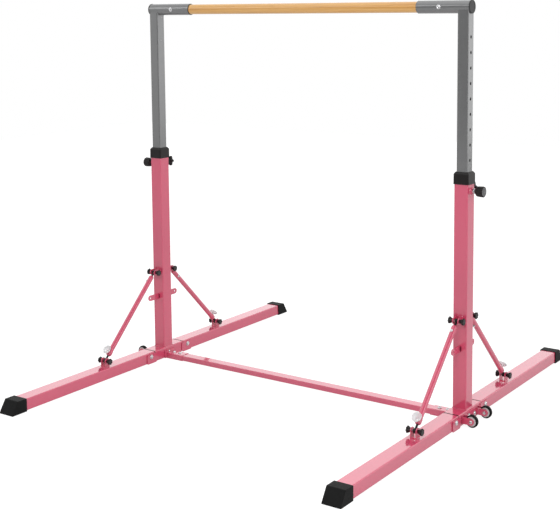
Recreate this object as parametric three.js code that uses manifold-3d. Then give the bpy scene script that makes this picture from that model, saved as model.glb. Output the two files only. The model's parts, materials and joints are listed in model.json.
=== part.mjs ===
// Kip bar: a wooden gymnastics bar on two height-adjustable stands with folding legs.
// Units are millimetres, +Z is up, and the object stands on Z = 0 under the middle of the bar.
// The bar runs along X; each stand has a front leg (-Y) and a rear leg (+Y).
import * as THREE from 'three';
import { mergeVertices } from 'three/addons/utils/BufferGeometryUtils.js';
import Module from 'manifold-3d';

const wasm = await Module();
wasm.setup();

// ---------------------------------------------------------------- driving dimensions
const GAP = 0.3; // working clearance between pieces that touch
const FIT = 0.4; // radial clearance of a bolt in its hole

// Facets of the round shapes.
const FINE_SIDES = 16;
const SIDES = 12;
const BOLT_SIDES = 10;
const CORNER_STEPS = 2; // steps of a square tube's rounded corner
const END_STEPS = 4; // steps of a quarter turn on a round plate end

const STAND_X = 714; // stand axis from the middle of the bar
const BAR_Z = 1487; // bar axis above the floor at the top setting

const UPRIGHT = 54; // square outer tube
const UPRIGHT_WALL = 2;
const POST = 43; // square inner tube
const POST_WALL = 2;
const TUBE_CORNER = 4; // outer corner radius of the square tubes
const POST_BOTTOM = 690;
const HOLE_PITCH = 54.2; // height setting step
const HOLE_COUNT = 11;
const HOLE_R = 5.5;
const HOLE_SIDES = 8;
const PIN_Z = 840; // height of the locking pin, level with the lowest hole

const BAR_R = 20;
const BAR_HALF = 674;
const SLEEVE_R = 23.2;
const SLEEVE_BORE = BAR_R + GAP;
const SLEEVE_IN = 186; // sleeve reach towards the middle, from the stand axis
const SLEEVE_OUT = 22; // sleeve reach outward

const LEG_W = 62;
const LEG_H = 45;
const LEG_WALL = 2.5;
const LEG_Z = 2; // underside of the legs and the base channel
const LEG_TOP = LEG_Z + LEG_H;
const LEG_END = 812; // tube end inside the foot cap
const CHANNEL_W = 62.8;
const CHANNEL_HALF = 91; // half length of the base channel at its top

const PIVOT_Y = 117.5; // leg hinge bolt
const PIVOT_Z = 30;
const PIVOT_BOLT_R = 5;
const LEG_PIN_Y = 357; // brace pin in the leg's clevis
const LEG_PIN_Z = 70;
const UP_PIN_Y = 52; // brace pin in the upright's clevis
const UP_PIN_Z = 377;
const PIN_R = 4;
// The folded leg turns a quarter about its hinge, which brings its clevis over the storage ear.
const EAR_Y = PIVOT_Y - (LEG_PIN_Z - PIVOT_Z);
const EAR_Z = PIVOT_Z + (LEG_PIN_Y - PIVOT_Y);

const EAR_IN = 9; // clevis ears: inner and outer faces from the stand's centre plane
const EAR_OUT = 12;
const CLEVIS_R = 12.5;
const CLEVIS_BASE = 3; // plate under the clevis ears
const EYE_HALF = 4; // half thickness of the brace eyes
const BRACE_R = 10.1;
const BRACE_COLLAR_R = 11.4;

const WHEEL_R = 23;
const WHEEL_HALF = 9;
const WHEEL_X = 67; // wheel centre, outward from the stand axis
const WHEEL_Y = 57;
const WHEEL_Z = 23.8;

const CROSS_W = 42; // flat cross tube between the stands
const CROSS_H = 21;
const CROSS_Z = 1.9;
const CROSS_WALL = 1.8;
const SOCKET_WALL = 1.5;
const SOCKET_IN = 35.4; // socket from its flange to its mouth, from the stand axis
const SOCKET_OUT = 120;

// ---------------------------------------------------------------- materials
const material = (color, roughness, metalness = 0) =>
  new THREE.MeshStandardMaterial({ color, roughness, metalness });
const PINK = () => material(0xd8607a, 0.3);
const GREY = () => material(0x8c8c8c, 0.4, 0.6);
const BLACK = () => material(0x262424, 0.55);
const RUBBER = () => material(0x1e1e1e, 0.8);
const STEEL = () => material(0xc8c8c8, 0.3, 1);
const WOOD = () => material(0xd9a35c, 0.35);
const CLEAR = () => material(0xe8e8e8, 0.15);

// ---------------------------------------------------------------- solid helpers
const solid = (geometry) => {
  const bare = geometry.clone();
  bare.deleteAttribute('normal');
  bare.deleteAttribute('uv');
  const merged = mergeVertices(bare, 1e-4);
  return new wasm.Manifold(new wasm.Mesh({
    numProp: 3,
    vertProperties: new Float32Array(merged.attributes.position.array),
    triVerts: new Uint32Array(merged.index.array),
  }));
};

const geometryOf = (manifold) => {
  const mesh = manifold.getMesh();
  const geometry = new THREE.BufferGeometry();
  geometry.setAttribute('position', new THREE.BufferAttribute(mesh.vertProperties, 3));
  geometry.setIndex(new THREE.BufferAttribute(mesh.triVerts, 1));
  geometry.computeVertexNormals();
  return geometry;
};

const join = (first, ...rest) => rest.reduce((sum, g) => sum.add(solid(g)), solid(first));
const cut = (body, ...tools) => tools.reduce((rest, g) => rest.subtract(solid(g)), body);

// Box given by its lowest and highest corners.
const box = (x0, x1, y0, y1, z0, z1) => {
  const geometry = new THREE.BoxGeometry(x1 - x0, y1 - y0, z1 - z0);
  return geometry.translate((x0 + x1) / 2, (y0 + y1) / 2, (z0 + z1) / 2);
};

// Round bar along one axis, between two places on that axis.
const rod = (axis, from, to, radius, [x, y, z] = [0, 0, 0], sides = BOLT_SIDES) => {
  const geometry = new THREE.CylinderGeometry(radius, radius, to - from, sides);
  geometry.translate(0, (from + to) / 2, 0);
  if (axis === 'x') geometry.rotateZ(-Math.PI / 2);
  if (axis === 'z') geometry.rotateX(Math.PI / 2);
  return geometry.translate(x, y, z);
};

// Turned piece: profile points are [radius, height] and close on themselves or on the axis.
const turned = (axis, profile, [x, y, z] = [0, 0, 0], sides = SIDES) => {
  const points = profile.map(([r, h]) => new THREE.Vector2(r, h));
  const geometry = new THREE.LatheGeometry(points, sides);
  if (axis === 'x') geometry.rotateZ(-Math.PI / 2);
  if (axis === 'z') geometry.rotateX(Math.PI / 2);
  return geometry.translate(x, y, z);
};

const roundedRect = (path, w, h, r) => {
  path.moveTo(-w / 2 + r, -h / 2);
  path.lineTo(w / 2 - r, -h / 2);
  path.absarc(w / 2 - r, -h / 2 + r, r, -Math.PI / 2, 0);
  path.absarc(w / 2 - r, h / 2 - r, r, 0, Math.PI / 2);
  path.absarc(-w / 2 + r, h / 2 - r, r, Math.PI / 2, Math.PI);
  path.absarc(-w / 2 + r, -h / 2 + r, r, Math.PI, 1.5 * Math.PI);
  return path;
};

// Solid bar of rounded rectangular section, w along X and h along the other cross direction.
const bar = (axis, from, to, w, h, r) => {
  const shape = roundedRect(new THREE.Shape(), w, h, r);
  const geometry = new THREE.ExtrudeGeometry(shape, {
    depth: to - from, bevelEnabled: false, curveSegments: CORNER_STEPS,
  });
  geometry.translate(0, 0, from);
  if (axis === 'y') geometry.rotateX(-Math.PI / 2);
  if (axis === 'x') geometry.rotateY(Math.PI / 2);
  return geometry;
};

// Plate lying in the YZ plane between two X faces; the outline is drawn as (y, z).
const platePlaneX = (outline, x0, x1) => {
  const geometry = new THREE.ExtrudeGeometry(outline, {
    depth: x1 - x0, bevelEnabled: false, curveSegments: 2 * END_STEPS,
  });
  geometry.rotateX(Math.PI / 2).rotateZ(Math.PI / 2);
  return geometry.translate(x0, 0, 0);
};

const outlineOf = (points) => new THREE.Shape(points.map(([a, b]) => new THREE.Vector2(a, b)));

// Ear: straight sides from a base, and a round end about its pin.
const earUp = (y, z, r, base) => {
  const shape = new THREE.Shape();
  shape.moveTo(y - r, base);
  shape.lineTo(y + r, base);
  shape.lineTo(y + r, z);
  shape.absarc(y, z, r, 0, Math.PI);
  return shape;
};
const earOut = (y, z, r, base) => {
  const shape = new THREE.Shape();
  shape.moveTo(base, z + r);
  shape.lineTo(base, z - r);
  shape.lineTo(y, z - r);
  shape.absarc(y, z, r, -Math.PI / 2, Math.PI / 2);
  return shape;
};

// ---------------------------------------------------------------- scene helpers
const kipBar = new THREE.Group();

const add = (group, name, shape, finish) => {
  const geometry = shape.isBufferGeometry ? shape : geometryOf(shape);
  const mesh = new THREE.Mesh(geometry, finish);
  mesh.name = name;
  group.add(mesh);
  return mesh;
};

// ---------------------------------------------------------------- knobs
const KNOB_LOBES = 7;
const KNOB_R = 13;
const KNOB_HUB_R = 6.5;
const KNOB_START = EAR_OUT + GAP;
const KNOB_LENGTH = 18;
const KNOB_RIM = 6;

// Lobed disc along X, standing on x0.
const lobedDisc = (x0, depth, radius, lobes, dip) => {
  const perLobe = 2;
  const points = [];
  for (let i = 0; i < lobes * perLobe; i += 1) {
    const angle = (2 * Math.PI * i) / (lobes * perLobe);
    const r = radius - (dip * (1 - Math.cos(lobes * angle))) / 2;
    points.push([r * Math.cos(angle), r * Math.sin(angle)]);
  }
  return platePlaneX(outlineOf(points), x0, x0 + depth);
};

// Screw knob along +X: a cone that widens from the hub to a lobed rim, on a threaded stud.
const screwKnob = (studTip) => {
  const rimStart = KNOB_START + KNOB_LENGTH - KNOB_RIM;
  const cone = turned('x', [[0, KNOB_START], [KNOB_HUB_R, KNOB_START],
    [KNOB_R - 2.5, rimStart + 1], [0, rimStart + 1]], [0, 0, 0], BOLT_SIDES);
  return join(cone, lobedDisc(rimStart, KNOB_RIM, KNOB_R, KNOB_LOBES, 2.2),
    rod('x', studTip, KNOB_START + 2, PIN_R));
};

// ---------------------------------------------------------------- bar
add(kipBar, 'wooden_bar', rod('x', -BAR_HALF, BAR_HALF, BAR_R, [0, 0, BAR_Z], FINE_SIDES), WOOD());

const crossInner = { w: CROSS_W - 2 * CROSS_WALL, h: CROSS_H - 2 * CROSS_WALL };
const crossHalf = STAND_X - SOCKET_IN - 6;
const crossTube = cut(
  solid(bar('y', -crossHalf, crossHalf, CROSS_W, CROSS_H, 2)),
  bar('y', -crossHalf - 1, crossHalf + 1, crossInner.w, crossInner.h, 0.8),
);
add(kipBar, 'cross_tube',
  geometryOf(crossTube).rotateZ(Math.PI / 2).translate(0, 0, CROSS_Z + CROSS_H / 2), PINK());

// ---------------------------------------------------------------- upright
const EAR_HALF = 2.5; // half thickness of the storage ear
const EAR_R = 12;
const SLOT_R = 7;
const SLOT_REACH = 4; // half distance between the slot's round ends
const UPRIGHT_TOP = 888;
const BOSS_R = 13;
const BOSS_OUT = 35;
const NECK_R = 9.5;
const NECK_OUT = 44.5;
const PLUNGER_R = 5;
const CLAMP_Z = 844;
const NUT_OUT = 33;
const NUT_R = 10;

const FACE = UPRIGHT / 2; // outer face of the upright from its axis

function upright() {
  const inner = UPRIGHT - 2 * UPRIGHT_WALL;
  let body = solid(bar('z', LEG_TOP + GAP, UPRIGHT_TOP, UPRIGHT, UPRIGHT, TUBE_CORNER));
  // Slot through both walls, about the storage ears.
  const slot = new THREE.Shape();
  slot.absarc(0, EAR_Z + SLOT_REACH, SLOT_R, 0, Math.PI);
  slot.absarc(0, EAR_Z - SLOT_REACH, SLOT_R, Math.PI, 2 * Math.PI);
  const slotTool = new THREE.ExtrudeGeometry(slot, {
    depth: UPRIGHT + 2, bevelEnabled: false, curveSegments: END_STEPS,
  }).rotateX(Math.PI / 2).translate(0, FACE + 1, 0);
  body = cut(body, bar('z', 0, UPRIGHT_TOP + 1, inner, inner, TUBE_CORNER - UPRIGHT_WALL), slotTool);
  // Boss and neck for the locking plunger, and the weld nut for the clamp knob.
  body = body
    .add(solid(rod('x', FACE - 1, BOSS_OUT, BOSS_R, [0, 0, PIN_Z], SIDES)))
    .add(solid(rod('x', BOSS_OUT - 1, NECK_OUT, NECK_R, [0, 0, PIN_Z])))
    .add(solid(rod('y', FACE - 1, NUT_OUT, NUT_R, [0, 0, CLAMP_Z], 6)));
  body = cut(body, rod('x', FACE - 5, NECK_OUT + 1, PLUNGER_R + FIT, [0, 0, PIN_Z]),
    rod('y', FACE - 5, NUT_OUT + 1, PLUNGER_R + FIT, [0, 0, CLAMP_Z]));
  for (const side of [-1, 1]) {
    const turn = (geometry) => (side > 0 ? geometry : geometry.rotateZ(Math.PI));
    // Upper clevis: two D-shaped ears on a base plate.
    const ears = [[-EAR_OUT, -EAR_IN], [EAR_IN, EAR_OUT]].map(([x0, x1]) =>
      turn(platePlaneX(earOut(UP_PIN_Y, UP_PIN_Z, CLEVIS_R, FACE - 1), x0, x1)));
    const base = turn(box(-EAR_OUT, EAR_OUT, FACE - 1, FACE + CLEVIS_BASE,
      UP_PIN_Z - CLEVIS_R, UP_PIN_Z + CLEVIS_R));
    // Storage ear: a flat plate that the folded leg's clevis straddles.
    const ear = turn(platePlaneX(earOut(EAR_Y, EAR_Z, EAR_R, FACE - 4), -EAR_HALF, EAR_HALF));
    body = body.add(solid(ears[0])).add(solid(ears[1])).add(solid(base)).add(solid(ear));
    body = cut(body,
      turn(rod('x', -EAR_OUT - 1, EAR_OUT + 1, PIN_R + FIT, [0, UP_PIN_Y, UP_PIN_Z])),
      turn(rod('x', -EAR_HALF - 1, EAR_HALF + 1, PIN_R + FIT, [0, EAR_Y, EAR_Z])));
  }
  return body;
}

// ---------------------------------------------------------------- base channel
const PLATE_IN = CHANNEL_W / 2;
const PLATE_OUT = PLATE_IN + 3.5;
const HINGE_PLATE_FROM = 80; // hinge plates along Y
const HINGE_PLATE_TO = 142;

function baseChannel() {
  const middle = LEG_Z + LEG_H / 2;
  const channel = bar('y', -CHANNEL_HALF, CHANNEL_HALF, CHANNEL_W, LEG_H, TUBE_CORNER)
    .translate(0, 0, middle);
  const hollow = bar('y', -CHANNEL_HALF - 1, CHANNEL_HALF + 1, CHANNEL_W - 2 * LEG_WALL,
    LEG_H - 2 * LEG_WALL, TUBE_CORNER - LEG_WALL + 0.5).translate(0, 0, middle);
  let body = cut(solid(channel), hollow);
  for (const side of [-1, 1]) {
    // Each end is cut back under its top wall, where the leg's nose swings.
    const relief = platePlaneX(outlineOf([
      [CHANNEL_HALF + 1, LEG_Z - 1], [CHANNEL_HALF + 1, LEG_TOP - LEG_WALL],
      [CHANNEL_HALF, LEG_TOP - LEG_WALL], [CHANNEL_HALF - 4, LEG_TOP - LEG_WALL - 6],
      [CHANNEL_HALF - 4, LEG_Z - 1]]), -CHANNEL_W, CHANNEL_W);
    if (side < 0) relief.rotateZ(Math.PI);
    body = cut(body, relief);
    for (const face of [-1, 1]) {
      const outline = outlineOf([[HINGE_PLATE_FROM, 9], [HINGE_PLATE_FROM + 8, 1],
        [HINGE_PLATE_TO, 1], [HINGE_PLATE_TO, 41], [HINGE_PLATE_FROM, 41]]);
      const plate = platePlaneX(outline, face > 0 ? PLATE_IN - 0.5 : -PLATE_OUT,
        face > 0 ? PLATE_OUT : -PLATE_IN + 0.5);
      const clearance = box(-PLATE_IN, PLATE_IN, CHANNEL_HALF - 4, HINGE_PLATE_TO + 1,
        0, LEG_TOP - LEG_WALL - 7);
      const trimmed = cut(solid(plate), clearance,
        box(-PLATE_IN, PLATE_IN, CHANNEL_HALF, HINGE_PLATE_TO + 1, 0, LEG_TOP + 1),
        rod('x', -PLATE_OUT - 1, PLATE_OUT + 1, PIVOT_BOLT_R + FIT, [0, PIVOT_Y, PIVOT_Z]));
      body = body.add(side > 0 ? trimmed : trimmed.rotate([0, 0, 180]));
    }
  }
  return body;
}

// ---------------------------------------------------------------- leg
const NOSE = 24; // inner end of the leg, measured from the hinge
const NOSE_CUT = 7; // where the slanted cut meets the underside
const NOSE_DROP = 14; // where it meets the inner end, below the hinge

function leg() {
  const middle = LEG_Z + LEG_H / 2;
  const inner = LEG_H - 2 * LEG_WALL;
  const tube = bar('y', PIVOT_Y - NOSE, LEG_END, LEG_W, LEG_H, TUBE_CORNER).translate(0, 0, middle);
  const hollow = bar('y', PIVOT_Y - NOSE - 1, LEG_END + 1, LEG_W - 2 * LEG_WALL, inner,
    TUBE_CORNER - LEG_WALL + 0.5).translate(0, 0, middle);
  // The lower corner of the nose is cut so that it clears the floor while the leg folds.
  const nose = platePlaneX(outlineOf([
    [PIVOT_Y - NOSE - 1, LEG_Z - 1], [PIVOT_Y - NOSE_CUT, LEG_Z - 1],
    [PIVOT_Y - NOSE - 1, PIVOT_Z - NOSE_DROP]]),
  -LEG_W, LEG_W);
  let body = cut(solid(tube), hollow, nose,
    rod('x', -LEG_W, LEG_W, PIVOT_BOLT_R + FIT, [0, PIVOT_Y, PIVOT_Z]));
  for (const [x0, x1] of [[-EAR_OUT, -EAR_IN], [EAR_IN, EAR_OUT]]) {
    body = body.add(solid(platePlaneX(earUp(LEG_PIN_Y, LEG_PIN_Z, CLEVIS_R, LEG_TOP - 1), x0, x1)));
  }
  body = body.add(solid(box(-EAR_OUT, EAR_OUT, LEG_PIN_Y - CLEVIS_R, LEG_PIN_Y + CLEVIS_R,
    LEG_TOP - 1, LEG_TOP + CLEVIS_BASE)));
  return cut(body,
    rod('x', -EAR_OUT - 1, EAR_OUT + 1, PIN_R + FIT, [0, LEG_PIN_Y, LEG_PIN_Z]));
}

// ---------------------------------------------------------------- foot cap
const CAP_HALF = 35;
const CAP_START = 805;
const CAP_TOP_END = 850;
const CAP_END = 881;
const CAP_TOP = LEG_TOP + 2.5;

function footCap() {
  const outline = new THREE.Shape();
  outline.moveTo(CAP_START, 0);
  outline.lineTo(CAP_END - 4, 0);
  outline.quadraticCurveTo(CAP_END, 0, CAP_END - 1.5, 5);
  outline.lineTo(CAP_TOP_END + 3, CAP_TOP - 5);
  outline.quadraticCurveTo(CAP_TOP_END, CAP_TOP, CAP_TOP_END - 5, CAP_TOP);
  outline.lineTo(CAP_START, CAP_TOP);
  const socket = bar('y', CAP_START - 1, LEG_END + GAP, LEG_W + 2 * GAP, LEG_H + 2 * GAP,
    TUBE_CORNER).translate(0, 0, LEG_Z + LEG_H / 2);
  return cut(solid(platePlaneX(outline, -CAP_HALF, CAP_HALF)), socket);
}

// ---------------------------------------------------------------- brace
const BRACE_DIR = new THREE.Vector2(LEG_PIN_Y - UP_PIN_Y, LEG_PIN_Z - UP_PIN_Z);
const BRACE_LENGTH = BRACE_DIR.length();
const BRACE_TILT = Math.atan2(BRACE_DIR.y, BRACE_DIR.x);
const BRACE_TUBE_FROM = 20;
const BRACE_COLLAR_FROM = BRACE_LENGTH - 46;
const BRACE_TUBE_TO = BRACE_LENGTH - 24;
const EYE_R = 9;
const CUP_R = 18.5;
const CUP_FACE = 24.5; // cup face from the brace axis: it rests on the upright when folded
const CUP_AT = BRACE_LENGTH - 40;

// Pieces of the brace are drawn along +Y from the upper pin, then tilted onto the leg's clevis.
const placeBrace = (mesh) => {
  mesh.position.set(0, UP_PIN_Y, UP_PIN_Z);
  mesh.rotation.x = BRACE_TILT;
};

function braceTube() {
  const bore = PIN_R + FIT;
  const inside = BRACE_R - 1.6;
  const plug = 14;
  return turned('y', [[bore, BRACE_TUBE_FROM], [BRACE_R, BRACE_TUBE_FROM],
    [BRACE_R, BRACE_COLLAR_FROM], [BRACE_COLLAR_R, BRACE_COLLAR_FROM],
    [BRACE_COLLAR_R, BRACE_TUBE_TO], [bore, BRACE_TUBE_TO], [bore, BRACE_TUBE_TO - plug],
    [inside, BRACE_TUBE_TO - plug], [inside, BRACE_TUBE_FROM + plug],
    [bore, BRACE_TUBE_FROM + plug], [bore, BRACE_TUBE_FROM]]);
}

function braceRod() {
  const shaft = rod('y', EYE_R - 2, BRACE_LENGTH - EYE_R + 2, PIN_R);
  const hole = (y) => rod('x', -EYE_HALF - 1, EYE_HALF + 1, PIN_R + FIT, [0, y, 0]);
  const eye = (y) => rod('x', -EYE_HALF, EYE_HALF, EYE_R, [0, y, 0], SIDES);
  return cut(join(shaft, eye(0), eye(BRACE_LENGTH)), hole(0), hole(BRACE_LENGTH));
}

// Suction cup: its stem stands on the tube, and its mouth faces away from the brace.
function suctionCup() {
  const root = BRACE_COLLAR_R + GAP;
  const profile = [[0, root], [5, root], [5, root + 4], [11, root + 6.5], [CUP_R, CUP_FACE - 1],
    [CUP_R, CUP_FACE], [CUP_R - 3, CUP_FACE], [10, root + 9], [0, root + 7.5]];
  return turned('z', profile, [0, CUP_AT, 0]);
}

// ---------------------------------------------------------------- post and sleeve
const PLUG_DEPTH = 14.3; // sleeve cap's plug inside the bore

function postAndSleeve() {
  const inner = POST - 2 * POST_WALL;
  const tube = cut(solid(bar('z', POST_BOTTOM, BAR_Z, POST, POST, TUBE_CORNER)),
    bar('z', POST_BOTTOM - 1, BAR_Z + 1, inner, inner, TUBE_CORNER - POST_WALL));
  let body = tube.add(solid(rod('x', -SLEEVE_IN, SLEEVE_OUT, SLEEVE_R, [0, 0, BAR_Z], FINE_SIDES)));
  body = cut(body, rod('x', -SLEEVE_IN - 1, SLEEVE_OUT + 1, SLEEVE_BORE, [0, 0, BAR_Z], FINE_SIDES));
  for (let i = 0; i < HOLE_COUNT; i += 1) {
    body = cut(body, rod('x', POST / 2 - POST_WALL - 1, POST / 2 + 1, HOLE_R,
      [0, 0, PIN_Z + i * HOLE_PITCH], HOLE_SIDES));
  }
  return body;
}

// End cap of the sleeve: a plug inside the bore and a disc over the end face.
function sleeveCap() {
  const plugRadius = SLEEVE_BORE - GAP;
  const discRadius = SLEEVE_R + 1;
  const seat = SLEEVE_OUT + GAP;
  const end = seat + 4.7;
  return turned('x', [[0, seat - PLUG_DEPTH], [plugRadius, seat - PLUG_DEPTH], [plugRadius, seat],
    [discRadius, seat], [discRadius, end - 1.6], [discRadius - 2, end], [0, end]],
  [0, 0, BAR_Z], FINE_SIDES);
}

// ---------------------------------------------------------------- collar
const COLLAR_HALF = 30.2;
const COLLAR_FROM = 864;
const COLLAR_SHOULDER = 901;
const COLLAR_TOP = 908;
const SKIRT_BOTTOM = 856;

function collar() {
  const hole = POST + 2 * GAP;
  const cover = solid(bar('z', COLLAR_FROM, COLLAR_SHOULDER, 2 * COLLAR_HALF, 2 * COLLAR_HALF, 5));
  // Four-sided chamfer above the shoulder.
  const chamfer = new THREE.CylinderGeometry((COLLAR_HALF - 5) * Math.SQRT2,
    (COLLAR_HALF - 0.6) * Math.SQRT2, COLLAR_TOP - COLLAR_SHOULDER, 4);
  chamfer.rotateY(Math.PI / 4).rotateX(Math.PI / 2);
  chamfer.translate(0, 0, (COLLAR_TOP + COLLAR_SHOULDER) / 2 - 0.01);
  const cavity = bar('z', COLLAR_FROM - 1, UPRIGHT_TOP + GAP, UPRIGHT + 2 * GAP, UPRIGHT + 2 * GAP,
    TUBE_CORNER);
  const skirt = bar('z', SKIRT_BOTTOM, UPRIGHT_TOP + 3, UPRIGHT - 2 * UPRIGHT_WALL - 2 * GAP,
    UPRIGHT - 2 * UPRIGHT_WALL - 2 * GAP, 1.8);
  return cut(cut(cover.add(solid(chamfer)), cavity).add(solid(skirt)),
    bar('z', SKIRT_BOTTOM - 1, COLLAR_TOP + 1, hole, hole, TUBE_CORNER));
}

// ---------------------------------------------------------------- plunger and clamp knob
const TIP = POST / 2 + 0.5; // both screws stop just off the post, so that it can slide
const PULL_R = 19.8;
const PULL_FROM = NECK_OUT + 0.5;
const PULL_TO = 79;
const CLAMP_R = 23.5;
const CLAMP_HUB = 27; // from the weld nut to the knob's lobed disc
const CLAMP_DISC = 14;

function pullPin() {
  return turned('x', [[0, TIP], [PLUNGER_R, TIP], [PLUNGER_R, PULL_FROM], [PULL_R - 8, PULL_FROM],
    [PULL_R - 1, PULL_FROM + 7], [PULL_R, PULL_TO - 4], [PULL_R - 2, PULL_TO],
    [0, PULL_TO - 1]], [0, 0, PIN_Z]);
}

function clampKnob() {
  const from = NUT_OUT + 0.5;
  const hub = turned('y', [[0, TIP], [PIN_R + 0.5, TIP], [PIN_R + 0.5, from], [11, from],
    [16, from + CLAMP_HUB], [0, from + CLAMP_HUB]], [0, 0, CLAMP_Z], BOLT_SIDES);
  const disc = lobedDisc(0, CLAMP_DISC, CLAMP_R, 6, 6).rotateZ(Math.PI / 2)
    .translate(0, from + CLAMP_HUB - 1, CLAMP_Z);
  return join(hub, disc);
}

// ---------------------------------------------------------------- wheels and their bracket
const AXLE_R = 4;
const CHEEK = 3;
const CHEEK_R = 12.5;
const CHEEK_GAP = WHEEL_HALF + 1.2;
const BRACKET_IN = PLATE_IN + GAP;
const BRACKET_OUT = BRACKET_IN + 4;
const BRACKET_Z0 = 9;
const BRACKET_Z1 = 40;

function wheel() {
  const bore = AXLE_R + FIT;
  const shoulder = WHEEL_HALF - 3;
  return turned('y', [[bore, -WHEEL_HALF], [WHEEL_R - 2, -WHEEL_HALF], [WHEEL_R, -shoulder],
    [WHEEL_R, shoulder], [WHEEL_R - 2, WHEEL_HALF], [bore, WHEEL_HALF], [bore, -WHEEL_HALF]],
  [0, 0, 0], FINE_SIDES);
}

// Cheek drawn in the XZ plane: wide at the plate and round at the axle.
const cheek = (y0, y1) => {
  const shape = new THREE.Shape();
  shape.moveTo(BRACKET_IN + 1, BRACKET_Z1 - 3);
  shape.lineTo(BRACKET_IN + 1, BRACKET_Z0 + 4);
  shape.lineTo(WHEEL_X, WHEEL_Z - CHEEK_R);
  shape.absarc(WHEEL_X, WHEEL_Z, CHEEK_R, -Math.PI / 2, Math.PI / 2);
  const geometry = new THREE.ExtrudeGeometry(shape, {
    depth: y1 - y0, bevelEnabled: false, curveSegments: 2 * END_STEPS,
  });
  return geometry.rotateX(Math.PI / 2).translate(0, y1, 0);
};

function wheelBracket() {
  const reach = WHEEL_Y + CHEEK_GAP + CHEEK;
  let body = solid(box(BRACKET_IN, BRACKET_OUT, -reach, reach, BRACKET_Z0, BRACKET_Z1));
  for (const centre of [-WHEEL_Y, WHEEL_Y]) {
    for (const side of [-1, 1]) {
      const face = centre + side * CHEEK_GAP;
      const [y0, y1] = side > 0 ? [face, face + CHEEK] : [face - CHEEK, face];
      body = body.add(solid(cheek(y0, y1)));
    }
    const outer = CHEEK_GAP + CHEEK + 4;
    body = body.add(solid(rod('y', centre - outer, centre + outer, AXLE_R, [WHEEL_X, 0, WHEEL_Z])));
  }
  return body;
}

// ---------------------------------------------------------------- hinge bolt and cross socket
function hingeBolt() {
  const seat = PLATE_OUT + GAP;
  return turned('x', [[0, -seat - 7], [6, -seat - 5.5], [9.5, -seat - 1.5], [9.5, -seat],
    [PIVOT_BOLT_R, -seat], [PIVOT_BOLT_R, seat], [9.5, seat], [9.5, seat + 1.5], [6, seat + 5.5],
    [0, seat + 7]], [0, PIVOT_Y, PIVOT_Z], BOLT_SIDES);
}

function crossSocket() {
  const w = CROSS_W + 2 * GAP;
  const h = CROSS_H + 2 * GAP;
  const middle = CROSS_Z + CROSS_H / 2;
  const along = (from, to, width, height, r) =>
    bar('y', from, to, width, height, r).rotateZ(Math.PI / 2).translate(0, 0, middle);
  const flange = box(-SOCKET_IN, -PLATE_IN - GAP, -33, 33, 1.5, 33);
  const tube = along(SOCKET_IN - 1, SOCKET_OUT, w + 2 * SOCKET_WALL, h + 2 * SOCKET_WALL, 2.5);
  let body = solid(flange).add(solid(tube));
  body = cut(body, along(SOCKET_IN + 0.5, SOCKET_OUT + 1, w, h, 1.2));
  return body;
}

// ---------------------------------------------------------------- one stand
// Drawn with +X outward; the left stand is its mirror image, and so is each front half.
function buildStand(prefix, side) {
  const stand = new THREE.Group();
  stand.position.x = side * STAND_X;
  stand.scale.x = side;
  kipBar.add(stand);

  add(stand, `${prefix}_upright`, upright(), PINK());
  add(stand, `${prefix}_base_channel`, baseChannel(), PINK());
  add(stand, `${prefix}_post_and_sleeve`, postAndSleeve(), GREY());
  add(stand, `${prefix}_sleeve_cap`, sleeveCap(), BLACK());
  add(stand, `${prefix}_collar`, collar(), BLACK());
  add(stand, `${prefix}_pull_pin`, pullPin(), BLACK());
  add(stand, `${prefix}_clamp_knob`, clampKnob(), BLACK());
  add(stand, `${prefix}_wheel_bracket`, wheelBracket(), PINK());
  add(stand, `${prefix}_cross_socket`, crossSocket(), PINK());

  for (const [label, sign] of [['front', -1], ['rear', 1]]) {
    const end = new THREE.Group();
    end.scale.y = sign;
    stand.add(end);
    const name = (piece) => `${prefix}_${label}_${piece}`;
    add(end, name('leg'), leg(), PINK());
    add(end, name('foot_cap'), footCap(), RUBBER());
    add(end, name('hinge_bolt'), hingeBolt(), STEEL());
    placeBrace(add(end, name('brace'), braceTube(), PINK()));
    placeBrace(add(end, name('brace_rod'), braceRod(), BLACK()));
    placeBrace(add(end, name('suction_cup'), suctionCup(), CLEAR()));
    const wheelMesh = add(end, name('wheel'), wheel(), RUBBER());
    wheelMesh.position.set(WHEEL_X, WHEEL_Y, WHEEL_Z);
    // The upper bolt runs through the brace's eye; its knobs clamp the clevis from both sides.
    const knob = screwKnob(-EYE_HALF);
    const bolt = knob.add(knob.mirror([1, 0, 0]));
    add(end, name('upper_knob_bolt'), bolt, BLACK()).position.set(0, UP_PIN_Y, UP_PIN_Z);
    // The lower bolt is parted in the middle, so that the brace can swing out of the clevis.
    for (const [place, facing] of [['outer', 1], ['inner', -1]]) {
      const part = add(end, name(`lower_knob_${place}`), screwKnob(EYE_HALF + GAP), BLACK());
      part.position.set(0, LEG_PIN_Y, LEG_PIN_Z);
      part.scale.x = facing;
    }
  }
}

buildStand('left', -1);
buildStand('right', 1);

export default kipBar;
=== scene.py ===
"""Kip bar: the looks of a wooden gymnastics bar on two height-adjustable stands with folding legs.

Shapes are drawn in millimetres. A stand is drawn about its own axis with +X outward, and half a stand
with +Y outward. place() mirrors a shape onto one of the four quarters and scales it to metres.
"""
import json
import math

import bmesh
import bpy
from mathutils import Matrix, Vector


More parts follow.
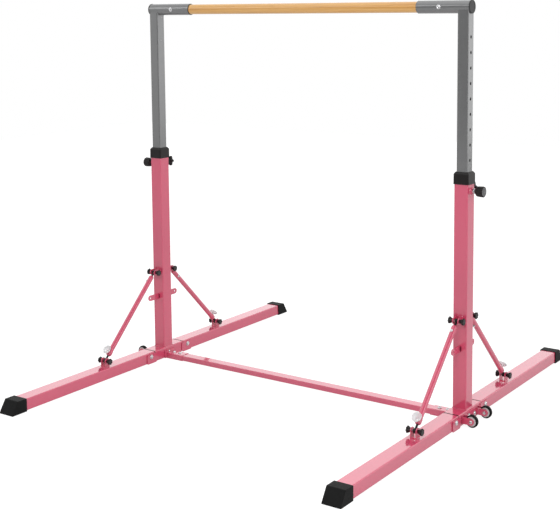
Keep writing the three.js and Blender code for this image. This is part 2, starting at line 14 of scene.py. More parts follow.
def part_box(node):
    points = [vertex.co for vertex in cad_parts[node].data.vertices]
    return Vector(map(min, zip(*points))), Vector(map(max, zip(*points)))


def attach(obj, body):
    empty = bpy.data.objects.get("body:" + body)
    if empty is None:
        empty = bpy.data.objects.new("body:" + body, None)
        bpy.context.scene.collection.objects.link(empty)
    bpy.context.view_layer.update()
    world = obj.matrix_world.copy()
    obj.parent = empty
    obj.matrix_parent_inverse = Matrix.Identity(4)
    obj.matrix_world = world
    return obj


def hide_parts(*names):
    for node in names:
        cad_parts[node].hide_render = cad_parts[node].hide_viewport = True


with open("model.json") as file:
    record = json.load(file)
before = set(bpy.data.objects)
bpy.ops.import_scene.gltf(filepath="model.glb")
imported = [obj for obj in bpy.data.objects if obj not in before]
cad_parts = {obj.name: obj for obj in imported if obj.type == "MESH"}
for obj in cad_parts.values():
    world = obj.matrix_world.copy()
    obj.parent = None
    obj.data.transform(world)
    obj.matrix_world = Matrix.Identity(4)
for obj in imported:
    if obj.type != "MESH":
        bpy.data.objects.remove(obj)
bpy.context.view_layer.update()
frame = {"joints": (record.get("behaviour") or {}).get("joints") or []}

# ---------------------------------------------------------------- places taken from the frame
TO_MM = 1000.0
JOINTS = {joint["name"]: joint for joint in frame["joints"]}


def pivot(joint):
    return Vector(JOINTS[joint]["pos_m"]) * TO_MM


def span(node):
    low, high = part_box(node)
    return low * TO_MM, high * TO_MM


HINGE = pivot("right_rear_leg_fold")
STAND_X = HINGE.x
LEG_PIN = pivot("right_rear_lower_knob_outer_turn")
UP_PIN = pivot("right_rear_upper_knob_turn")
AXLE = pivot("right_rear_wheel_spin")
AXLE_X = AXLE.x - STAND_X
CLAMP_Z = pivot("right_clamp_knob_turn").z
EAR_Y = HINGE.y - (LEG_PIN.z - HINGE.z)
EAR_Z = HINGE.z + (LEG_PIN.y - HINGE.y)

bar_low, bar_high = span("wooden_bar")
BAR_R = (bar_high.z - bar_low.z) / 2
BAR_Z = (bar_high.z + bar_low.z) / 2
BAR_HALF = bar_high.x
post_low, post_high = span("right_post_and_sleeve")
SLEEVE_R = post_high.z - BAR_Z
SLEEVE_IN = post_low.x - STAND_X
SLEEVE_OUT = post_high.x - STAND_X
POST_BOTTOM = post_low.z
UPRIGHT_TOP = span("right_upright")[1].z
collar_low, collar_high = span("right_collar")
COLLAR_HALF = (collar_high.x - collar_low.x) / 2
COLLAR_TOP = collar_high.z
leg_low, leg_high = span("right_rear_leg")
LEG_W = leg_high.x - leg_low.x
LEG_END = leg_high.y
foot_low, foot_high = span("right_rear_foot_cap")
cross_low, cross_high = span("cross_tube")
CROSS_SIZE = (cross_high.y - cross_low.y, cross_high.z - cross_low.z)
CROSS_CENTRE = (0, (cross_high.z + cross_low.z) / 2)
SOCKET_MOUTH = STAND_X - span("right_cross_socket")[0].x
wheel_low, wheel_high = span("right_rear_wheel")
WHEEL_R = (wheel_high.z - wheel_low.z) / 2
WHEEL_HALF = (wheel_high.y - wheel_low.y) / 2
pull_low, pull_high = span("right_pull_pin")
PULL_Z = (pull_low.z + pull_high.z) / 2
PULL_R = (pull_high.z - pull_low.z) / 2
PULL_END = pull_high.x - STAND_X
clamp_low, clamp_high = span("right_clamp_knob")
CLAMP_R = (clamp_high.x - clamp_low.x) / 2

# ---------------------------------------------------------------- sections and small sizes
UPRIGHT = 54
POST = 43
TUBE_WALL = 2
TUBE_CORNER = 4
HOLE_R = 5.5
HOLE_PITCH = 54.2
HOLE_COUNT = 11
LEG_H = 45
LEG_BOTTOM = 2
LEG_TOP = LEG_BOTTOM + LEG_H
LEG_WALL = 2.5
LEG_MIDDLE = LEG_BOTTOM + LEG_H / 2
CHANNEL_W = 62.8
CHANNEL_HALF = 91
EAR_IN = 9
EAR_OUT = 12
PIN_R = 4
EYE_R = 9
EYE_HALF = 4
BRACE_R = 10.1
BRACE_COLLAR_R = 11.4
CUP_R = 18.5
CUP_FACE = 24.5
WELD = 1.6

BRACE = Vector((LEG_PIN.y - UP_PIN.y, LEG_PIN.z - UP_PIN.z))
BRACE_LENGTH = BRACE.length
BRACE_TILT = math.atan2(BRACE.y, BRACE.x)

SIDES = {"left": -1, "right": 1}
ENDS = {"front": -1, "rear": 1}


# ---------------------------------------------------------------- outlines
def arc(centre, radius, first, sweep, steps):
    """Points along an arc, from a first angle and over a sweep, both in radians."""
    angles = [first + sweep * k / steps for k in range(steps + 1)]
    return [(centre[0] + radius * math.cos(t), centre[1] + radius * math.sin(t)) for t in angles]


def rounded(corners, steps=6, closed=True):
    """Outline whose corners (a, b, radius) are turned into arcs. A corner without a radius stays sharp."""
    outline = []
    for i, corner in enumerate(corners):
        radius = corner[2] if len(corner) > 2 else 0
        open_end = not closed and i in (0, len(corners) - 1)
        if radius == 0 or open_end:
            outline.append((corner[0], corner[1]))
            continue
        here = Vector(corner[:2])
        before = (Vector(corners[i - 1][:2]) - here).normalized()
        after = (Vector(corners[(i + 1) % len(corners)][:2]) - here).normalized()
        half = before.angle(after) / 2
        centre = here + (before + after).normalized() * (radius / math.sin(half))
        start = here + before * (radius / math.tan(half)) - centre
        finish = here + after * (radius / math.tan(half)) - centre
        first = math.atan2(start.y, start.x)
        sweep = math.atan2(finish.y, finish.x) - first
        sweep = (sweep + math.pi) % (2 * math.pi) - math.pi
        outline += arc(centre, radius, first, sweep, steps)
    return outline


def rect(width, height, corner, centre=(0, 0), steps=6):
    a, b = width / 2, height / 2
    points = [(a, b), (-a, b), (-a, -b), (a, -b)]
    return rounded([(centre[0] + x, centre[1] + y, corner) for x, y in points], steps)


def circle(radius, centre=(0, 0), sides=48):
    angles = [2 * math.pi * i / sides for i in range(sides)]
    return [(centre[0] + radius * math.cos(t), centre[1] + radius * math.sin(t)) for t in angles]


# ---------------------------------------------------------------- meshes
def mesh_of(points, faces):
    mesh = bpy.data.meshes.new("shape")
    mesh.from_pydata([tuple(p) for p in points], [], faces)
    work = bmesh.new()
    work.from_mesh(mesh)
    bmesh.ops.remove_doubles(work, verts=work.verts, dist=1e-4)
    bmesh.ops.recalc_face_normals(work, faces=work.faces)
    work.to_mesh(mesh)
    work.free()
    return mesh


def on_axis(axis, a, b, along):
    """The point at (a, b) across an axis: (y, z) across X, (x, z) across Y and (x, y) across Z."""
    if axis == "x":
        return (along, a, b)
    if axis == "y":
        return (a, along, b)
    return (a, b, along)


def loft(axis, rings, closed=False):
    """Skin over rings (outline, along). Closed, its last ring joins its first; open, it has end faces."""
    count = len(rings[0][0])
    points = [on_axis(axis, a, b, along) for outline, along in rings for a, b in outline]
    faces = []
    for r in range(len(rings) if closed else len(rings) - 1):
        s = (r + 1) % len(rings)
        for i in range(count):
            j = (i + 1) % count
            faces.append((r * count + i, r * count + j, s * count + j, s * count + i))
    if not closed:
        faces.append(tuple(range(count)))
        faces.append(tuple(range((len(rings) - 1) * count, len(rings) * count)))
    return mesh_of(points, faces)


def prism(axis, outline, low, high):
    return loft(axis, [(outline, low), (outline, high)])


def pair(axis, outline, near, far, middle=0):
    """Two plates that mirror each other, from near to far on either side of a middle."""
    spans = ((middle - far, middle - near), (middle + near, middle + far))
    return [prism(axis, outline, low, high) for low, high in spans]


def box_tube(axis, size, wall, ends, centre=(0, 0), corners=(TUBE_CORNER, TUBE_CORNER - TUBE_WALL)):
    """Rectangular tube between two ends, with its outer and inner corner radii."""
    outer = rect(*size, corners[0], centre)
    inner = rect(size[0] - 2 * wall, size[1] - 2 * wall, corners[1], centre)
    low, high = ends
    return loft(axis, [(outer, low), (outer, high), (inner, high), (inner, low)], closed=True)


def turned(axis, profile, centre=(0, 0), sides=48):
    """Turned shape. The profile is (radius, along); it closes on the axis or on itself."""
    points = []
    rings = []
    for radius, along in profile:
        outline = circle(radius, centre, sides) if radius > 0 else [centre]
        rings.append(list(range(len(points), len(points) + len(outline))))
        points += [on_axis(axis, a, b, along) for a, b in outline]
    faces = []
    pairs = list(zip(rings, rings[1:]))
    if len(rings[0]) > 1 and len(rings[-1]) > 1:
        pairs.append((rings[-1], rings[0]))
    for one, two in pairs:
        for i in range(sides):
            j = (i + 1) % sides
            if len(one) == 1 and len(two) == 1:
                continue
            if len(one) == 1:
                faces.append((one[0], two[j], two[i]))
            elif len(two) == 1:
                faces.append((one[i], one[j], two[0]))
            else:
                faces.append((one[i], one[j], two[j], two[i]))
    return mesh_of(points, faces)


def lathe(axis, corners, centre, steps, sides):
    """Turned shape with rounded corners. Its profile stays open where it meets the axis."""
    return turned(axis, rounded(corners, steps, closed=corners[0][0] > 0), centre, sides)


def rod(axis, low, high, radius, centre=(0, 0), ease=0.4, sides=32):
    profile = [(0, low), (radius - ease, low), (radius, low + ease), (radius, high - ease),
               (radius - ease, high), (0, high)]
    return turned(axis, profile, centre, sides)


def merged(*meshes):
    """One mesh of several separate solids."""
    work = bmesh.new()
    for mesh in meshes:
        work.from_mesh(mesh)
    result = bpy.data.meshes.new("shape")
    work.to_mesh(result)
    work.free()
    return result


def moved(mesh, matrix):
    copy = mesh.copy()
    copy.transform(matrix)
    if matrix.determinant() < 0:
        copy.flip_normals()
    return copy


def with_modifiers(mesh, setup):
    """The mesh that comes out of the modifiers that setup adds."""
    holder = bpy.data.objects.new("work", mesh)
    bpy.context.scene.collection.objects.link(holder)
    helpers = setup(holder) or []
    bpy.context.view_layer.update()
    graph = bpy.context.evaluated_depsgraph_get()
    result = bpy.data.meshes.new_from_object(holder.evaluated_get(graph))
    for extra in [holder, *helpers]:
        bpy.data.objects.remove(extra)
    return result


def boolean(mesh, tools, operation):
    def setup(holder):
        helpers = []
        for tool in tools:
            helper = bpy.data.objects.new("tool", tool)
            bpy.context.scene.collection.objects.link(helper)
            helpers.append(helper)
            modifier = holder.modifiers.new("join", "BOOLEAN")
            modifier.operation = operation
            modifier.solver = "EXACT"
            modifier.object = helper
        return helpers
    return with_modifiers(mesh, setup)


def joined(mesh, *tools):
    return boolean(mesh, tools, "UNION")


def cut(mesh, *tools):
    return boolean(mesh, tools, "DIFFERENCE")


def eased(mesh, width, steps=2, angle=35):
    """The mesh with its sharp edges rounded."""
    def setup(holder):
        modifier = holder.modifiers.new("ease", "BEVEL")
        modifier.width = width
        modifier.segments = steps
        modifier.limit_method = "ANGLE"
        modifier.angle_limit = math.radians(angle)
    return with_modifiers(mesh, setup)


def bead(path, radius=WELD, closed=False, sides=8, ripple=0.14, step=1.3):
    """Weld bead along a path of points, with the ripples that the torch leaves."""
    points = [Vector(p) for p in path]
    if closed:
        points.append(points[0])
    line = []
    for start, end in zip(points, points[1:]):
        count = max(1, round((end - start).length / step))
        line += [start.lerp(end, k / count) for k in range(count)]
    if not closed:
        line.append(points[-1])
    total = len(line)
    verts = []
    for i, point in enumerate(line):
        ahead = line[(i + 1) % total] if closed or i + 1 < total else point
        behind = line[i - 1] if closed or i > 0 else point
        along = (ahead - behind).normalized()
        steep = abs(along.z) > 0.9
        side = (along.orthogonal() if steep else along.cross(Vector((0, 0, 1)))).normalized()
        up = side.cross(along).normalized()
        width = radius * (1 + ripple * math.cos(2 * math.pi * i / 3))
        if not closed:
            width *= min(1, 0.35 + min(i, total - 1 - i) / 3)
        for k in range(sides):
            angle = 2 * math.pi * k / sides
            verts.append(point + side * (width * math.cos(angle)) + up * (width * math.sin(angle)))
    faces = []
    for i in range(total if closed else total - 1):
        j = (i + 1) % total
        for k in range(sides):
            m = (k + 1) % sides
            faces.append((i * sides + k, i * sides + m, j * sides + m, j * sides + k))
    if not closed:
        faces.append(tuple(range(sides)))
        faces.append(tuple(range((total - 1) * sides, total * sides)))
    return mesh_of(verts, faces)


# ---------------------------------------------------------------- materials
class Finish:
    """A node material built around one Principled shader."""

    def __init__(self, name, **constants):
        self.material = bpy.data.materials.new(name)
        self.material.use_nodes = True
        self.nodes = self.material.node_tree.nodes
        self.links = self.material.node_tree.links
        self.shader = self.nodes["Principled BSDF"]
        for socket, value in constants.items():
            self.shader.inputs[socket.replace("_", " ")].default_value = value
        self.place = self.nodes.new("ShaderNodeTexCoord").outputs["Object"]

    def noise(self, scale, stretch=(1, 1, 1), detail=4.0, rough=0.5, distortion=0.0):
        mapping = self.nodes.new("ShaderNodeMapping")
        mapping.inputs["Scale"].default_value = stretch
        self.links.new(self.place, mapping.inputs["Vector"])
        texture = self.nodes.new("ShaderNodeTexNoise")
        texture.inputs["Scale"].default_value = scale
        texture.inputs["Detail"].default_value = detail
        texture.inputs["Roughness"].default_value = rough
        texture.inputs["Distortion"].default_value = distortion
        self.links.new(mapping.outputs["Vector"], texture.inputs["Vector"])
        return texture.outputs["Fac"]

    def ramp(self, source, stops):
        node = self.nodes.new("ShaderNodeValToRGB")
        while len(node.color_ramp.elements) < len(stops):
            node.color_ramp.elements.new(0.5)
        for element, (position, colour) in zip(node.color_ramp.elements, stops):
            element.position = position
            element.color = (*colour, 1)
        self.links.new(source, node.inputs["Fac"])
        return node.outputs["Color"]

    def multiplied(self, one, two, factor):
        """One colour multiplied by another, as far as the factor says."""
        node = self.nodes.new("ShaderNodeMix")
        node.data_type = "RGBA"
        node.blend_type = "MULTIPLY"
        node.inputs["Factor"].default_value = factor
        self.links.new(one, node.inputs["A"])
        self.links.new(two, node.inputs["B"])
        return node.outputs["Result"]

    def scaled(self, source, low, high):
        """The middle half of a noise's values, stretched from low to high."""
        node = self.nodes.new("ShaderNodeMapRange")
        node.inputs["To Min"].default_value = low
        node.inputs["To Max"].default_value = high
        node.inputs["From Min"].default_value = 0.25
        node.inputs["From Max"].default_value = 0.75
        self.links.new(source, node.inputs["Value"])
        return node.outputs["Result"]

    def colour(self, source):
        self.links.new(source, self.shader.inputs["Base Color"])

    def clouded(self, source, dark, light):
        """A base colour that drifts between two tones with a noise."""
        self.colour(self.ramp(source, [(0.3, dark), (0.7, light)]))

    def roughness(self, source, low, high):
        self.links.new(self.scaled(source, low, high), self.shader.inputs["Roughness"])

    def bump(self, source, strength, distance):
        node = self.nodes.new("ShaderNodeBump")
        node.inputs["Strength"].default_value = strength
        node.inputs["Distance"].default_value = distance
        self.links.new(source, node.inputs["Height"])
        self.links.new(node.outputs["Normal"], self.shader.inputs["Normal"])


def pink_paint():
    """Glossy powder paint: a faint orange peel and a slight drift of shade along the tubes."""
    finish = Finish("pink_paint", Coat_Weight=1.0, Coat_Roughness=0.05, Coat_IOR=1.68, IOR=1.5)
    drift = finish.noise(3.0, detail=2)
    finish.clouded(drift, (0.60, 0.060, 0.133), (0.66, 0.070, 0.149))
    finish.roughness(finish.noise(60, detail=3), 0.16, 0.26)
    finish.bump(finish.noise(300, detail=1), 0.05, 0.00012)
    return finish.material


def grey_paint():
    """Grey metallic paint on the sliding tubes."""
    finish = Finish("grey_metallic_paint", Metallic=0.45, Coat_Weight=0.45, Coat_Roughness=0.1)
    flake = finish.noise(2600, detail=1)
    drift = finish.noise(5, stretch=(1, 1, 0.3), detail=3)
    base = finish.ramp(drift, [(0.3, (0.205, 0.207, 0.21)), (0.7, (0.235, 0.237, 0.24))])
    sparkle = finish.ramp(flake, [(0.35, (0.86, 0.86, 0.86)), (0.65, (1.0, 1.0, 1.0))])
    finish.colour(finish.multiplied(base, sparkle, 0.8))
    finish.roughness(finish.noise(90, detail=3), 0.2, 0.28)
    finish.bump(flake, 0.05, 0.0002)
    return finish.material


def varnished_wood():
    """Pale hardwood turned along X, with long grain, pores and a clear varnish."""
    finish = Finish("varnished_wood", Coat_Weight=0.8, Coat_Roughness=0.12, Coat_IOR=1.5)
    bands = finish.noise(1.0, stretch=(1.2, 60, 60), detail=5, rough=0.55, distortion=0.4)
    fibres = finish.noise(1.0, stretch=(14, 900, 900), detail=4, rough=0.6)
    pores = finish.noise(1.0, stretch=(90, 2200, 2200), detail=2, rough=0.5)
    tone = finish.ramp(bands, [(0.30, (0.58, 0.265, 0.058)), (0.46, (0.73, 0.385, 0.099)),
                               (0.60, (0.82, 0.47, 0.145)), (0.74, (0.69, 0.355, 0.087))])
    streak = finish.ramp(fibres, [(0.34, (0.80, 0.74, 0.66)), (0.62, (1.0, 1.0, 1.0))])
    pore = finish.ramp(pores, [(0.27, (0.62, 0.52, 0.42)), (0.36, (1.0, 1.0, 1.0))])
    finish.colour(finish.multiplied(finish.multiplied(tone, streak, 0.55), pore, 0.6))
    finish.roughness(fibres, 0.28, 0.42)
    finish.bump(fibres, 0.08, 0.0003)
    return finish.material


def black_plastic(name, tone, low, high, grain, strength, shine=0.22):
    """Moulded plastic or rubber: a fine even grain in the mould's surface."""
    finish = Finish(name, Specular_IOR_Level=shine)
    cloud = finish.noise(30, detail=3)
    finish.clouded(cloud, [0.8 * c for c in tone], [1.25 * c for c in tone])
    finish.roughness(finish.noise(200, detail=3), low, high)
    finish.bump(finish.noise(grain, detail=2), strength, 0.0003)
    return finish.material


def bright_zinc():
    """Zinc-plated steel with fine turning marks and slightly clouded plating."""
    finish = Finish("bright_zinc", Metallic=1.0)
    cloud = finish.noise(160, detail=4)
    finish.clouded(cloud, (0.55, 0.55, 0.56), (0.82, 0.82, 0.83))
    finish.roughness(finish.noise(700, detail=3), 0.16, 0.32)
    finish.bump(finish.noise(1500, detail=2), 0.05, 0.0001)
    return finish.material


def pale_plastic():
    finish = Finish("pale_plastic", IOR=1.48)
    cloud = finish.noise(45, detail=3)
    finish.clouded(cloud, (0.66, 0.66, 0.65), (0.76, 0.76, 0.75))
    finish.roughness(finish.noise(260, detail=2), 0.32, 0.45)
    return finish.material


def clear_vinyl():
    """Soft clear vinyl, faintly milky, for the suction cups."""
    finish = Finish("clear_vinyl", Transmission_Weight=0.55, IOR=1.38)
    cloud = finish.noise(70, detail=3)
    finish.clouded(cloud, (0.93, 0.94, 0.95), (0.99, 0.99, 1.0))
    finish.roughness(cloud, 0.3, 0.42)
    return finish.material


PINK = pink_paint()
GREY = grey_paint()
WOOD = varnished_wood()
BLACK = black_plastic("black_plastic", (0.0085, 0.0065, 0.0068), 0.32, 0.44, 900, 0.08, 0.3)
CAP_GREY = black_plastic("charcoal_plastic", (0.045, 0.045, 0.046), 0.4, 0.55, 900, 0.10)
SLATE = black_plastic("slate_plastic", (0.15, 0.15, 0.152), 0.36, 0.5, 900, 0.08, 0.4)
RUBBER = black_plastic("black_rubber", (0.005, 0.005, 0.005), 0.5, 0.66, 700, 0.16, 0.15)
BLACK_STEEL = black_plastic("black_oxide_steel", (0.010, 0.010, 0.0105), 0.28, 0.4, 500, 0.05)
STEEL = bright_zinc()
PALE = pale_plastic()
CLEAR = clear_vinyl()


# ---------------------------------------------------------------- placing pieces
SHARP_ANGLE = 34
SHARED_BODIES = ("frame", "bar_assembly")


def put(name, mesh, body, material, nodes=()):
    """A finished piece, in metres, riding on its body and standing for the given CAD nodes."""
    mesh.materials.clear()
    mesh.materials.append(material)
    mesh.shade_smooth()
    mesh.set_sharp_from_angle(angle=math.radians(SHARP_ANGLE))
    piece = bpy.data.objects.new(name, mesh)
    bpy.context.scene.collection.objects.link(piece)
    weighted = piece.modifiers.new("even_shading", "WEIGHTED_NORMAL")
    weighted.keep_sharp = True
    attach(piece, body)
    if nodes:
        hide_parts(*nodes)


def place(name, mesh, body, material, side=1, end=1, nodes=()):
    """Puts a shape drawn about a stand's axis onto the left or right stand and its front or rear half."""
    matrix = (Matrix.Scale(1 / TO_MM, 4) @ Matrix.Translation((side * STAND_X, 0, 0))
              @ Matrix.Diagonal((side, end, 1, 1)))
    put(name, moved(mesh, matrix), body, material, nodes)


def place_all(prefix, side, end, rows):
    """Places rows of (piece, shape, body, material, CAD node). All but the shared bodies take the prefix."""
    for piece, shape, body, material, *node in rows:
        rider = body if body in SHARED_BODIES else f"{prefix}_{body}"
        place(f"{prefix}_{piece}", shape, rider, material, side, end, [f"{prefix}_{name}" for name in node])


# ---------------------------------------------------------------- fasteners
def turned_on(axis, profile, seat, outward, centre, sides=36):
    """Turned shape whose profile (radius, height) stands on a face at seat and points outward."""
    return turned(axis, [(r, seat + outward * h) for r, h in profile], centre, sides)


def dome(radius, height, shoulder, foot=0):
    """Profile of a dome that curves in from its shoulder, which is a share of its height."""
    curve = [(r, height * (shoulder + (1 - shoulder) * h)) for r, h in arc((0, 0), 1, 0, math.pi / 2, 8)]
    return [(0, foot), (radius, foot), *[(radius * r, h) for r, h in curve[:-1]], (0, height)]


def button_head(axis, seat, radius, height, centre=(0, 0), outward=1, socket=0.42):
    """Domed screw head with a hexagon socket, standing on a face at seat and pointing outward."""
    head = turned_on(axis, dome(radius, height, 0.18), seat, outward, centre)
    depth = sorted((seat + outward * height * 0.45, seat + outward * (height + 1)))
    recess = prism(axis, circle(radius * socket, centre, 6), *depth)
    return eased(cut(head, recess), 0.15, 1, 50)


def cross_head(axis, seat, radius, height, centre=(0, 0), outward=1):
    """Pan head with a cross recess."""
    head = turned_on(axis, dome(radius, height, 0.3), seat, outward, centre)
    depth = sorted((seat + outward * height * 0.4, seat + outward * (height + 1)))
    length, width = radius * 1.1, radius * 0.2
    slots = [prism(axis, rect(*size, 0.2, centre, 2), *depth) for size in ((length, width), (width, length))]
    return eased(cut(head, *slots), 0.12, 1, 50)


def hex_nut(axis, seat, across, height, centre=(0, 0), outward=1):
    """Hexagon nut with chamfered corners."""
    corner = across / math.sqrt(3)
    flat = across / 2 * 1.02
    chamfer = height * 0.16
    low, high = sorted((seat, seat + outward * height))
    nut = prism(axis, circle(corner, centre, 6), low, high)
    trim = turned(axis, [(0, low), (flat, low), (corner, low + chamfer), (corner, high - chamfer),
                         (flat, high), (0, high)], centre, 36)
    return boolean(nut, [trim], "INTERSECT")


def cap_nut(axis, seat, across, height, centre=(0, 0), outward=1):
    """Closed dome nut: a hexagon with a dome on it."""
    base = hex_nut(axis, seat, across, height * 0.5, centre, outward)
    top = dome(across * 0.44, height, 0.45, height * 0.3)
    return joined(base, turned_on(axis, top, seat, outward, centre))


def washer(axis, seat, inner, outer, thick, centre=(0, 0), outward=1):
    e = 0.25
    profile = [(inner, 0), (outer - e, 0), (outer, e), (outer, thick - e), (outer - e, thick), (inner, thick)]
    return turned_on(axis, profile, seat, outward, centre, 40)


# ---------------------------------------------------------------- the bar and its carriers
def bar_shape():
    chamfer = 2
    profile = [(0, -BAR_HALF), (BAR_R, -BAR_HALF, chamfer), (BAR_R, BAR_HALF, chamfer), (0, BAR_HALF)]
    return lathe("x", profile, (0, BAR_Z), 5, 96)


def post_shape():
    """Square post with its row of height holes, and the sleeve welded across its top."""
    post = eased(box_tube("z", (POST, POST), TUBE_WALL, (POST_BOTTOM, BAR_Z - 2)), 0.5, 2, 60)
    lip = 0.8
    bore = BAR_R + 0.3
    profile = [(bore, SLEEVE_IN, lip), (SLEEVE_R, SLEEVE_IN, lip), (SLEEVE_R, SLEEVE_OUT, lip / 2),
               (bore, SLEEVE_OUT, lip / 2)]
    sleeve = lathe("x", profile, (0, BAR_Z), 3, 96)
    start, end = SLEEVE_IN - 5, SLEEVE_OUT + 5
    filling = turned("x", [(0, start), (bore + 0.5, start), (bore + 0.5, end), (0, end)], (0, BAR_Z), 96)
    face = POST / 2
    rim = HOLE_R + 0.8
    drill = [(0, face - 4), (HOLE_R, face - 4), (HOLE_R, face - 0.6), (rim, face + 0.2), (rim, face + 3),
             (0, face + 3)]
    holes = [turned("x", drill, (0, PULL_Z + i * HOLE_PITCH), 24) for i in range(HOLE_COUNT)]
    return merged(cut(post, filling, *holes), sleeve)


def sleeve_weld_shape():
    """Weld where the square post meets the round sleeve: it rises and falls with the sleeve's curve."""
    half = POST / 2 - 0.3
    path = []
    for x, y in rect(2 * half, 2 * half, TUBE_CORNER, steps=5):
        path.append((x, y, BAR_Z - math.sqrt(SLEEVE_R ** 2 - y ** 2)))
    return bead(path, 1.2, closed=True)


def sleeve_cap_shape():
    seat = SLEEVE_OUT + 0.3
    rim = SLEEVE_R + 0.9
    end = seat + 4.6
    profile = [(0, seat - 14), (BAR_R - 1, seat - 14, 1), (BAR_R - 0.5, seat), (rim, seat, 0.6),
               (rim, end, 1.4), (rim - 3.2, end, 0.6), (rim - 4.4, end - 1.1, 0.6), (0, end - 1.1)]
    return lathe("x", profile, (0, BAR_Z), 4, 72)


def sleeve_mouth_ring_shape():
    """Thin black ring in the sleeve's mouth, which draws a dark line where the wood enters the sleeve."""
    profile = [(BAR_R + 0.05, SLEEVE_IN - 1.4), (BAR_R + 1.9, SLEEVE_IN - 1.4, 0.5),
               (BAR_R + 1.9, SLEEVE_IN - 0.05), (BAR_R + 0.05, SLEEVE_IN - 0.05)]
    return lathe("x", profile, (0, BAR_Z), 3, 72)


SLEEVE_SCREW_X = -95


def sleeve_screw_shape():
    """Screw that holds the wood in the sleeve, with its washer."""
    seat = -SLEEVE_R + 0.6
    centre = (SLEEVE_SCREW_X, BAR_Z)
    ring = washer("y", seat, 3, 9.4, 1.0, centre, -1)
    return merged(ring, button_head("y", seat - 0.9, 7.8, 4.2, centre, -1, 0.5))


def build_bar():
    put("bar_wood_rod", moved(bar_shape(), Matrix.Scale(1 / TO_MM, 4)), "bar_assembly", WOOD, ["wooden_bar"])
    rows = [
        ("post_tube", post_shape(), "bar_assembly", GREY, "post_and_sleeve"),
        ("sleeve_weld", sleeve_weld_shape(), "bar_assembly", GREY),
        ("sleeve_end_cap", sleeve_cap_shape(), "bar_assembly", CAP_GREY, "sleeve_cap"),
        ("sleeve_mouth_ring", sleeve_mouth_ring_shape(), "bar_assembly", BLACK),
        ("sleeve_screw", sleeve_screw_shape(), "bar_assembly", STEEL),
    ]
    for name, side in SIDES.items():
        place_all(name, side, 1, rows)


# ---------------------------------------------------------------- upright, collar and its two knobs
SLOT_R = 7
SLOT_REACH = 4
EAR_HALF = 2.5
EAR_R = 12
EAR_HOLE_R = 4.6
CLEVIS_R = 12.5
PLATE = 3
BOSS_OUT = 35
BOSS_R = 13
BOSS_FOOT_R = 15.5
PULL_HOLE_R = 6
NECK_R = 7.6
NECK_BORE = 5.5
PLUNGER_R = 5
CLAMP_HOLE_R = 5
CLAMP_SCREW_R = 4.4


def ear_outline(base, y, z, radius):
    """Plate end drawn as (y, z): straight sides from a base, and a round end about its hole."""
    return [(base, z - radius), *arc((y, z), radius, -math.pi / 2, math.pi, 16), (base, z + radius)]


def upright_shape():
    face = UPRIGHT / 2
    bottom = LEG_TOP + 0.2
    shell = box_tube("z", (UPRIGHT, UPRIGHT), TUBE_WALL, (bottom, UPRIGHT_TOP))
    slot = rect(2 * SLOT_R, 2 * (SLOT_R + SLOT_REACH), SLOT_R - 0.01, (0, EAR_Z), 10)
    through = prism("y", slot, -face - 2, face + 2)
    pin_hole = prism("x", circle(PULL_HOLE_R, (0, PULL_Z), 24), face - 5, face + 3)
    screw_hole = prism("y", circle(CLAMP_HOLE_R, (0, CLAMP_Z), 24), face - 5, face + 3)
    return eased(cut(shell, through, pin_hole, screw_hole), 0.4, 2, 60)


def boss_shape():
    """Round boss for the plunger, drawn out of the tube wall with a small shoulder."""
    face = UPRIGHT / 2
    profile = [(PULL_HOLE_R, face - 1), (BOSS_FOOT_R, face - 1), (BOSS_FOOT_R, face + 0.4),
               (BOSS_R, face + 2.6, 2), (BOSS_R, BOSS_OUT, 1.2), (PULL_HOLE_R, BOSS_OUT)]
    return lathe("x", profile, (0, PULL_Z), 4, 56)


def plunger_neck_shape():
    """Steel barrel and lock nut between the boss and the pull knob."""
    centre = (0, PULL_Z)
    nut = hex_nut("x", BOSS_OUT + 0.1, 18.5, 5, centre)
    low, high = BOSS_OUT + 4, BOSS_OUT + 8
    barrel = [(NECK_BORE, low), (NECK_R, low), (NECK_R, high, 0.8), (NECK_BORE, high)]
    return merged(nut, lathe("x", barrel, centre, 3, 36))


def upper_clevis_shape():
    face = UPRIGHT / 2
    plates = pair("x", ear_outline(face - 0.5, UP_PIN.y, UP_PIN.z, CLEVIS_R), EAR_IN, EAR_OUT)
    base = prism("y", rect(2 * EAR_OUT, 2 * CLEVIS_R, 1, (0, UP_PIN.z)), face - 0.5, face + PLATE)
    hole = prism("x", circle(PIN_R + 0.4, (UP_PIN.y, UP_PIN.z), 32), -EAR_OUT - 1, EAR_OUT + 1)
    return eased(cut(joined(base, *plates), hole), 0.45, 2, 40)


def storage_ear_shape():
    """Flat ear through the upright's slot, with a hole for the folded leg's bolt."""
    face = UPRIGHT / 2
    plate = prism("x", ear_outline(face - 4, EAR_Y, EAR_Z, EAR_R), -EAR_HALF, EAR_HALF)
    hole = prism("x", circle(EAR_HOLE_R, (EAR_Y, EAR_Z), 32), -EAR_HALF - 1, EAR_HALF + 1)
    return eased(cut(plate, hole), 0.5, 2, 40)


def upright_welds_shape():
    """Welds of the clevis on the upright's face."""
    root = UPRIGHT / 2 + 0.2
    reach = CLEVIS_R - 1
    lines = []
    for side in (-1, 1):
        x = side * EAR_OUT
        lines.append(bead([(x, root, UP_PIN.z - reach), (x, root, UP_PIN.z + reach)], 1.3))
        z = UP_PIN.z + side * CLEVIS_R
        lines.append(bead([(-EAR_OUT + 1, root, z), (EAR_OUT - 1, root, z)], 1.1))
    return merged(*lines)


def foot_weld_shape():
    """Weld round the foot of the upright, on top of the base channel."""
    path = [(x, y, LEG_TOP + 0.3) for x, y in rect(UPRIGHT + 0.6, UPRIGHT + 0.6, TUBE_CORNER, steps=5)]
    return bead(path, 1.7, closed=True)


def clamp_nut_shape():
    face = UPRIGHT / 2
    return eased(cut(hex_nut("y", face - 0.5, 17.5, 6.4, (0, CLAMP_Z)),
                     prism("y", circle(CLAMP_HOLE_R, (0, CLAMP_Z), 24), face - 2, face + 8)), 0.3, 1, 50)


